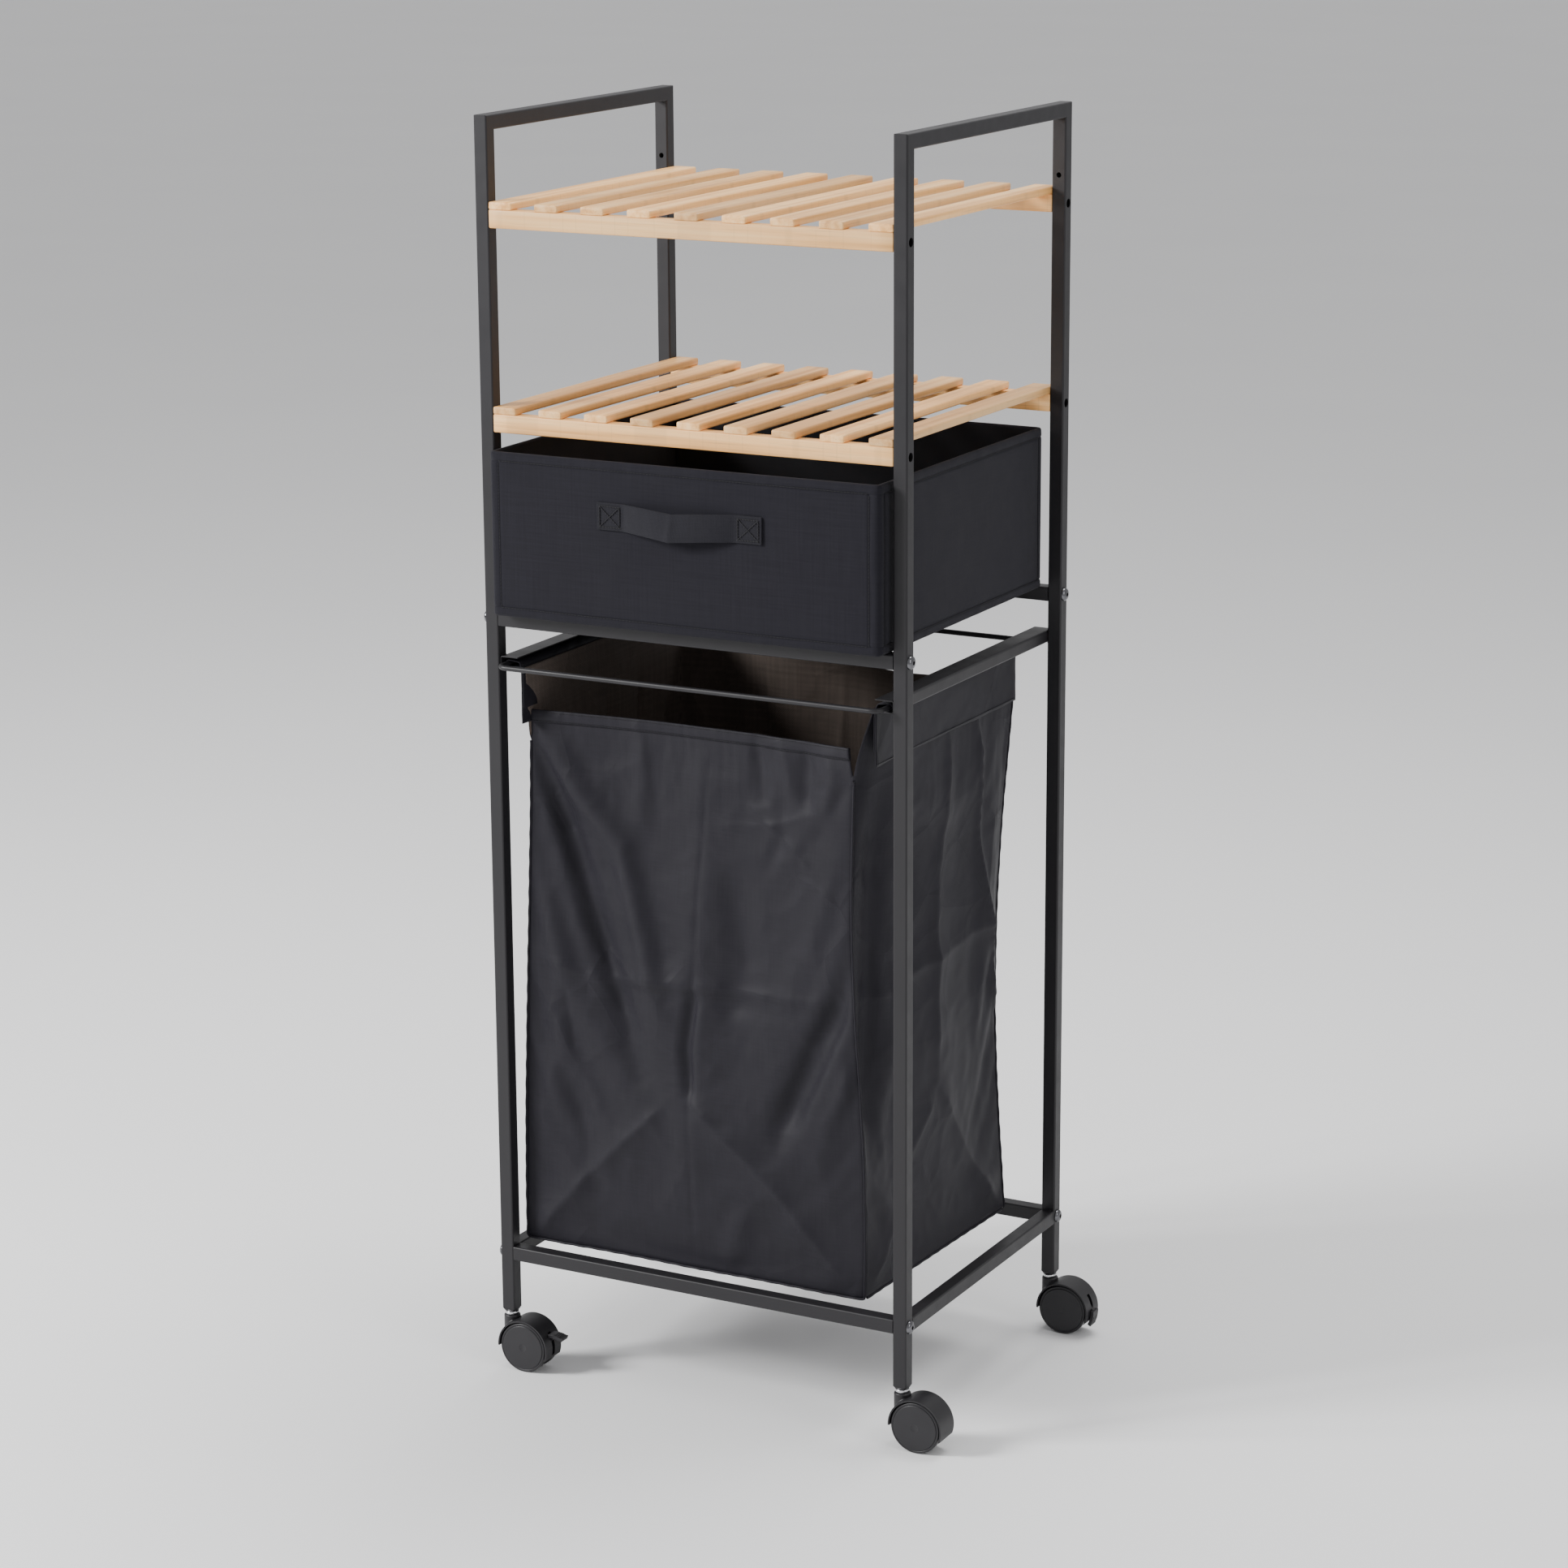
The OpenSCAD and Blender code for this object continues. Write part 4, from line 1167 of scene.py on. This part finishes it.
SIDE_CREASES = (
    (((0.70, 1.00), (0.78, 0.75), (0.92, 0.52), (0.99, 0.33)), 0.0052, 0.007, "fold"),
    (((0.08, 0.98), (0.10, 0.60), (0.05, 0.20)), -0.0070, 0.012, "swell"),
    (((0.20, 0.92), (0.24, 0.60), (0.16, 0.26)), 0.0052, 0.013, "swell"),
    (((0.00, 0.54), (0.45, 0.56), (1.00, 0.58)), 0.0028, 0.010, "fold"),
    (((0.05, 0.02), (0.30, 0.20), (0.50, 0.33)), 0.0036, 0.014, "fold"),
    (((0.95, 0.02), (0.70, 0.18), (0.50, 0.33)), 0.0036, 0.014, "fold"),
    (((0.50, 1.00), (0.50, 0.33)), 0.0030, 0.010, "fold"),
)
BACK_CREASES = (
    (((0.50, 1.00), (0.49, 0.50), (0.50, 0.00)), -0.0046, 0.006, "fold"),
    (((0.00, 0.54), (0.50, 0.52), (1.00, 0.55)), -0.0034, 0.008, "fold"),
    (((0.02, 0.02), (0.50, 0.33), (0.98, 0.02)), 0.0040, 0.012, "fold"),
    (((0.22, 1.00), (0.30, 0.70), (0.26, 0.42)), 0.0056, 0.018, "swell"),
    (((0.78, 1.00), (0.72, 0.72), (0.80, 0.42)), -0.0056, 0.020, "swell"),
)
BOTTOM_CREASES = (
    (((0.50, 0.0), (0.50, 1.0)), 0.0014, 0.006, "fold"),
)


def crease_height(flat, size, line, height, width, form):
    """How far a crease lifts each of a panel's points. flat holds their (u, v)."""
    at = flat * np.array(size)
    nodes = np.array(line) * np.array(size)
    lengths = np.linalg.norm(np.diff(nodes, axis=0), axis=1)
    total = lengths.sum()
    near = np.full(len(at), 9.0)
    along = np.zeros(len(at))
    run = 0.0
    for p, q, length in zip(nodes, nodes[1:], lengths):
        t = np.clip(((at - p) @ (q - p)) / length ** 2, 0, 1)
        distance = np.linalg.norm(at - (p + t[:, None] * (q - p)), axis=1)
        closer = distance < near
        near = np.where(closer, distance, near)
        along = np.where(closer, (run + t * length) / total, along)
        run += length
    steep = 2.6 if form == "fold" else 1.4
    fade = np.clip(np.sin(np.pi * np.clip(along, 0.02, 0.98)) * steep, 0.05, 1)
    shape = np.exp(-near / width) if form == "fold" else np.exp(-((near / width) ** 2))
    return height * shape * fade


def crease_panels(coordinates, normals, table, share):
    """Moves points along their normals by a share of each crease's height."""
    lift = np.zeros(len(coordinates))
    for panel, size, creases in (
        (0, (WIDTH, HEIGHT), FRONT_CREASES), (1, (DEPTH, HEIGHT), SIDE_CREASES),
        (3, (DEPTH, HEIGHT), SIDE_CREASES), (2, (WIDTH, HEIGHT), BACK_CREASES),
        (4, (WIDTH, DEPTH), BOTTOM_CREASES),
    ):
        inside = np.abs(table[:, 0] - panel) < 0.01
        flat = table[inside][:, 1:3]
        total = np.zeros(len(flat))
        for line, depth, width, form in creases:
            total += share * crease_height(flat, size, line, depth, width, form)
        edge = np.minimum(flat[:, 0], 1 - flat[:, 0]) * size[0]
        if panel == 4:
            edge = np.minimum(edge, np.minimum(flat[:, 1], 1 - flat[:, 1]) * size[1])
        lift[inside] = total * np.clip(edge / 0.012, 0.0, 1.0)
    return coordinates + normals * lift[:, None]


def read_points(mesh):
    flat = np.empty(len(mesh.vertices) * 3, np.float32)
    mesh.vertices.foreach_get("co", flat)
    return flat.reshape(-1, 3).astype(float)


def write_points(mesh, coordinates):
    mesh.vertices.foreach_set("co", coordinates.astype(np.float32).ravel())
    mesh.update()


def read_normals(mesh):
    return np.array([v.normal for v in mesh.vertices], float)


def read_table(mesh):
    columns = []
    for name in ("panel", "panel_u", "panel_v"):
        values = np.empty(len(mesh.vertices), np.float32)
        mesh.attributes[name].data.foreach_get("value", values)
        columns.append(values.astype(float))
    return np.stack(columns, axis=1)


def settle(piece, held, share, frames=18, extra=0.003, limit=0.009):
    """Lets the cloth hang for a few frames, with its sewn and carried edges held.

    Each point then keeps a share of its sag, up to the limit."""
    group = piece.vertex_groups.new(name="held")
    for vertex, weight in held.items():
        group.add([vertex], weight, "REPLACE")
    drape = piece.modifiers.new("drape", "CLOTH")
    settings = drape.settings
    settings.quality = 5
    settings.mass = 0.12
    settings.tension_stiffness = 30
    settings.compression_stiffness = 30
    settings.shear_stiffness = 6
    settings.bending_model = "ANGULAR"
    settings.bending_stiffness = 0.9
    settings.tension_damping = 8
    settings.compression_damping = 8
    settings.bending_damping = 2
    settings.air_damping = 3
    settings.shrink_min = -extra
    settings.shrink_max = -extra
    settings.vertex_group_mass = "held"
    settings.pin_stiffness = 1
    scene = bpy.context.scene
    scene.frame_start, scene.frame_end = 1, frames
    drape.point_cache.frame_start, drape.point_cache.frame_end = 1, frames
    for number in range(1, frames + 1):
        scene.frame_set(number)
    seen = piece.evaluated_get(bpy.context.evaluated_depsgraph_get())
    start = read_points(piece.data)
    shift = read_points(seen.data) - start
    piece.modifiers.remove(drape)
    reach = np.linalg.norm(shift, axis=1, keepdims=True)
    shift *= np.minimum(1, limit / np.maximum(reach, 1e-9)) * share[:, None]
    write_points(piece.data, start + shift)
    scene.frame_set(1)


def subdivided(piece, levels):
    """Replaces a piece's mesh by its smooth subdivision."""
    smooth = piece.modifiers.new("smooth", "SUBSURF")
    smooth.levels = levels
    smooth.render_levels = levels
    smooth.boundary_smooth = "PRESERVE_CORNERS"
    graph = bpy.context.evaluated_depsgraph_get()
    seen = piece.evaluated_get(graph)
    mesh = bpy.data.meshes.new_from_object(seen, preserve_all_data_layers=True, depsgraph=graph)
    piece.modifiers.clear()
    piece.data = mesh


def crumpled(coordinates, normals, table):
    """Small random facets all over the four walls."""
    out = coordinates.copy()
    for k, (panel, u, v) in enumerate(table):
        if panel > 3.01:
            continue
        hold = min(1.0, 14 * min(u, 1 - u)) * min(1.0, 14 * v) * min(1.0, max(0.0, 12 * (1.0 - v)))
        p = Vector(coordinates[k])
        facets = 0.55 - abs(noise.noise(p * 19)) - 0.5 * abs(noise.noise(p * 41 + UP))
        out[k] += normals[k] * 0.0019 * facets * hold
    return out


def softly_waved(coordinates, normals, table):
    """Broad soft unevenness over the four walls, different on each."""
    rng = np.random.default_rng(11)
    phase = rng.uniform(0, 9, 4)
    out = coordinates.copy()
    for k, (panel, u, v) in enumerate(table[:, :3]):
        if panel == 4:
            continue
        hold = min(1.0, 10 * min(u, 1 - u)) * min(1.0, 8 * v) * min(1.0, max(0.0, 9 * (1.02 - v)))
        out[k] += normals[k] * 0.0024 * fractal(coordinates[k], 9.0, phase[int(panel)], 3) * hold
    return out


def held_weights(index):
    """How firmly each point is held while the cloth hangs. A point's last place in the grid decides."""
    held = {}
    for (name, i, j), vertex in index.items():
        side = name in ("left", "right")
        if name == "bottom" or j == 0 or side and (j >= TALL - 2 and i > 0 or i == 0 and j > TALL - 6):
            held[vertex] = 1.0
        elif not side and i in (0, ACROSS):
            held[vertex] = 0.6
        elif not side and j >= TALL - 1:
            held[vertex] = 0.5 if name == "front" else 0.7
    return held


def build_bag():
    points, table, faces, index = bag_grid()
    uvs = [tuple(row[3:5]) for row in table]
    bag = make("laundry_bag", (points, faces), "bag_hanger", [BAG, BAG_INSIDE], uvs=uvs)
    for name, column in (("panel", 0), ("panel_u", 1), ("panel_v", 2)):
        attribute = bag.data.attributes.new(name, "FLOAT", "POINT")
        attribute.data.foreach_set("value", table[:, column].astype(np.float32))
    creased = crease_panels(read_points(bag.data), read_normals(bag.data), table, 0.35)
    write_points(bag.data, softly_waved(creased, read_normals(bag.data), table))
    low = ease(table[:, 2] / 0.45)
    settle(bag, held_weights(index), np.where(table[:, 0] == 4, 1.0, mix(0.15, 1.0, low)))
    subdivided(bag, 1)
    fine = crease_panels(read_points(bag.data), read_normals(bag.data), read_table(bag.data), 1.0)
    write_points(bag.data, crumpled(fine, read_normals(bag.data), read_table(bag.data)))
    for polygon in bag.data.polygons:
        polygon.use_smooth = True
    thicken(bag, CLOTH, -1, 1)
    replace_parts(bag, "bag_front", "bag_back", "bag_left_side", "bag_right_side", "bag_bottom")
    return bag


def panel_line(bag, panel, want, key, lowest, highest):
    """The bag's points nearest to a line of constant u or v in one panel, in order."""
    coordinates, table, normals = read_points(bag.data), read_table(bag.data), read_normals(bag.data)
    fixed, free = (1, 2) if key == "u" else (2, 1)
    keep = (np.abs(table[:, 0] - panel) < 0.01) & (np.abs(table[:, fixed] - want) < 1e-4)
    keep &= (table[:, free] >= lowest) & (table[:, free] <= highest)
    order = np.argsort(table[keep][:, free])
    mid = np.array(MID)
    line = [Vector(p - mid) for p in coordinates[keep][order]]
    return line, [Vector(n) for n in normals[keep][order]]


def sleeve_path():
    """A side's top edge in x and z: up inside the channel, round the rod and down outside as a flap."""
    r, exit_z, steps = (ROD_HIGH.z - ROD_LOW.z) / 2 + 0.0006, SIDE_TOP + 0.0002, 16
    path = [(BAG_HALF + 0.0002, FRONT_TOP + 0.004), (BAG_HALF + 0.0003, SIDE_TOP - 0.008)]
    path += [(BAG_HALF + 0.0012, SIDE_TOP - 0.0005), (BAG_HALF + 0.0040, ROD_Z + r * 0.55)]
    path += arc((ROD_X, ROD_Z), r, 115, -90, 16) + [(ROD_X - 0.006, exit_z - 0.0001)]
    for x, down in ((0.0034, 0.0001), (0.0024, 0.0008), (0.0018, 0.0024)):
        path.append((BAG_HALF + x, exit_z - down))
    for i in range(steps + 1):
        path.append((BAG_HALF + 0.0016, mix(exit_z - 0.005, SLEEVE_LOW.z, i / steps)))
    return path


def build_sleeve(side, name):
    path = sleeve_path()
    run = [0.0]
    for a, b in zip(path, path[1:]):
        run.append(run[-1] + math.hypot(b[0] - a[0], b[1] - a[1]))
    y_front, y_rear, cols = SLEEVE_LOW.y, SLEEVE_HIGH.y, 96
    verts, uvs = [], []
    for c in range(cols + 1):
        y = mix(y_front, y_rear, c / cols)
        for (x, z), down in zip(path, run):
            outer = max(0.0, (down - run[-1] + 0.05) / 0.05)
            wave = 0.0005 * fractal((y, z * 1.5, side), 30, 4.0) * min(1.0, outer * 3)
            dip = 0.0012 * fractal((y, 0.0, side), 16, 6.0) * outer
            verts.append((side * (x + wave), y, z + dip))
            uvs.append((y, down))
    faces = grid_faces(cols + 1, len(path))
    part = verts, faces if side > 0 else flipped(faces)
    sleeve = make(f"{name}_rod_sleeve", part, "bag_hanger", BAG, uvs=uvs)
    thicken(sleeve, CLOTH, 0)
    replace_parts(sleeve, f"bag_{name}_sleeve")
    x, z = side * (BAG_HALF + 0.0020), SLEEVE_LOW.z + 0.0025
    seam = stitch_line([(x, y_front + 0.003, z), (x, y_rear - 0.003, z)], RIGHT * side, 0.0032, 0.0023, 0.0003)
    thread = make(f"{name}_sleeve_thread", seam, "bag_hanger", THREAD_AND_RECESS_SHADE)
    return sleeve


def build_hem(bag):
    """A turned hem along the front's top edge, with two rows of stitches."""
    rows = [panel_line(bag, 0, 1 - k / (2 * TALL), "v", 0.0, 1.0) for k in (4, 3, 2, 1, 0)]
    count = min(len(line) for line, _ in rows)
    offsets = (0.0004, 0.0010, 0.0011, 0.0011, 0.0010)
    path = [(k, offsets[k], 0.0) for k in range(5)]
    path += [(4, 0.0007, 0.0007), (4, 0.0, 0.0010), (4, -CLOTH - 0.0007, 0.0007)]
    path += [(k, -CLOTH - offsets[k], 0.0) for k in (4, 3, 2, 1, 0)]
    verts, uvs = [], []
    for i in range(count):
        for step, (k, offset, rise) in enumerate(path):
            line, normals = rows[k]
            pucker = 0.00025 * math.sin(i * 1.7 + 2.0 * fractal((i * 0.05, 0, 0), 1.0)) if k < 3 else 0.0
            verts.append(line[i] + normals[i] * (offset + math.copysign(pucker, offset)) + UP * rise)
            uvs.append((i * 0.0027, step * 0.0024))
    hem = make("front_hem", (verts, grid_faces(count, len(path), over=True)), "bag_hanger", BAG, uvs=uvs)
    thicken(hem, 0.0004, -1)
    parts = []
    for k, share in ((0, 0.55), (3, 0.6)):
        (low, normals), (high, _) = rows[k], rows[k + 1]
        line = [low[i].lerp(high[i], share) + normals[i] * 0.0011 for i in range(count)]
        parts.append(stitch_line(line, list(normals), 0.0032, 0.0023, 0.00028))
    thread = make("front_hem_thread", join_parts(parts), "bag_hanger", THREAD_AND_RECESS_SHADE)
    return [hem, thread]


def build_piping(bag):
    """Narrow sewn ridges where the panels meet."""
    parts = []
    for panel, want, key, highest in (
        (0, 0.0, "u", SLIT), (0, 1.0, "u", SLIT), (2, 0.0, "u", 1.0), (2, 1.0, "u", 1.0),
        (0, 0.0, "v", 1.0), (2, 0.0, "v", 1.0), (1, 0.0, "v", 1.0), (3, 0.0, "v", 1.0),
    ):
        line, normals = panel_line(bag, panel, want, key, 0.0, highest)
        points = []
        for i, (p, n) in enumerate(zip(line, normals)):
            points.append(p + n * (0.0006 + 0.0002 * math.sin(i * 0.9)))
        parts.append(sweep(points, 0.0012, 8))
    part = join_parts(parts)
    piping = make("bag_seam_piping", part, "bag_hanger", BAG, uvs=[(v[0] + v[1], v[2]) for v in part[0]])
    return [piping]


bag = build_bag()
trims = build_hem(bag) + build_piping(bag)
sleeves = [build_sleeve(1, "right"), build_sleeve(-1, "left")]

# ---- floor, lights and camera ----


def build_studio():
    mesh = bpy.data.meshes.new("studio_floor")
    size = 40.0
    corners = [(-size, -size, 0), (size, -size, 0), (size, size, 0), (-size, size, 0)]
    mesh.from_pydata(corners, [], [[0, 1, 2, 3]])
    floor = bpy.data.objects.new("studio_floor", mesh)
    bpy.context.scene.collection.objects.link(floor)
    g = Graph("studio_floor")
    base = g.mix(g.noise(g.place(), 1.5, 2), (0.84, 0.84, 0.845), (0.88, 0.88, 0.88))
    mesh.materials.append(g.set(Base_Color=base, Roughness=0.7))
    world = bpy.data.worlds.new("studio")
    world.use_nodes = True
    background = world.node_tree.nodes["Background"]
    background.inputs["Color"].default_value = (0.90, 0.90, 0.91, 1)
    background.inputs["Strength"].default_value = 0.72
    bpy.context.scene.world = world
    for name, place, aim, size_x, size_y, power in (
        ("key", (-2.6, -2.3, 2.3), (0, 0, 0.60), 1.0, 1.2, 215),
        ("side", (3.0, -0.8, 1.9), (0, 0, 0.6), 1.2, 2.0, 22),
        ("top", (0.3, 0.9, 3.2), (0, 0, 0.9), 1.8, 1.2, 60),
    ):
        light = bpy.data.lights.new(name, "AREA")
        light.shape = "RECTANGLE"
        light.size, light.size_y = size_x, size_y
        light.energy = power
        lamp = bpy.data.objects.new(name, light)
        lamp.location = place
        lamp.rotation_euler = (Vector(aim) - Vector(place)).to_track_quat("-Z", "Y").to_euler()
        bpy.context.scene.collection.objects.link(lamp)


def build_camera():
    data = bpy.data.cameras.new("camera")
    data.lens = 94.5
    data.sensor_width = 36
    data.clip_end = 40
    camera = bpy.data.objects.new("camera", data)
    bpy.context.scene.collection.objects.link(camera)
    place = Matrix.Translation(MID + Vector((1.804, -3.358, 1.560)))
    turn = Matrix.Rotation(math.radians(28.2), 4, "Z") @ Matrix.Rotation(math.radians(90 - 14.5), 4, "X")
    camera.matrix_world = place @ turn @ Matrix.Rotation(math.radians(-0.36), 4, "Z")
    bpy.context.scene.camera = camera


build_studio()
build_camera()
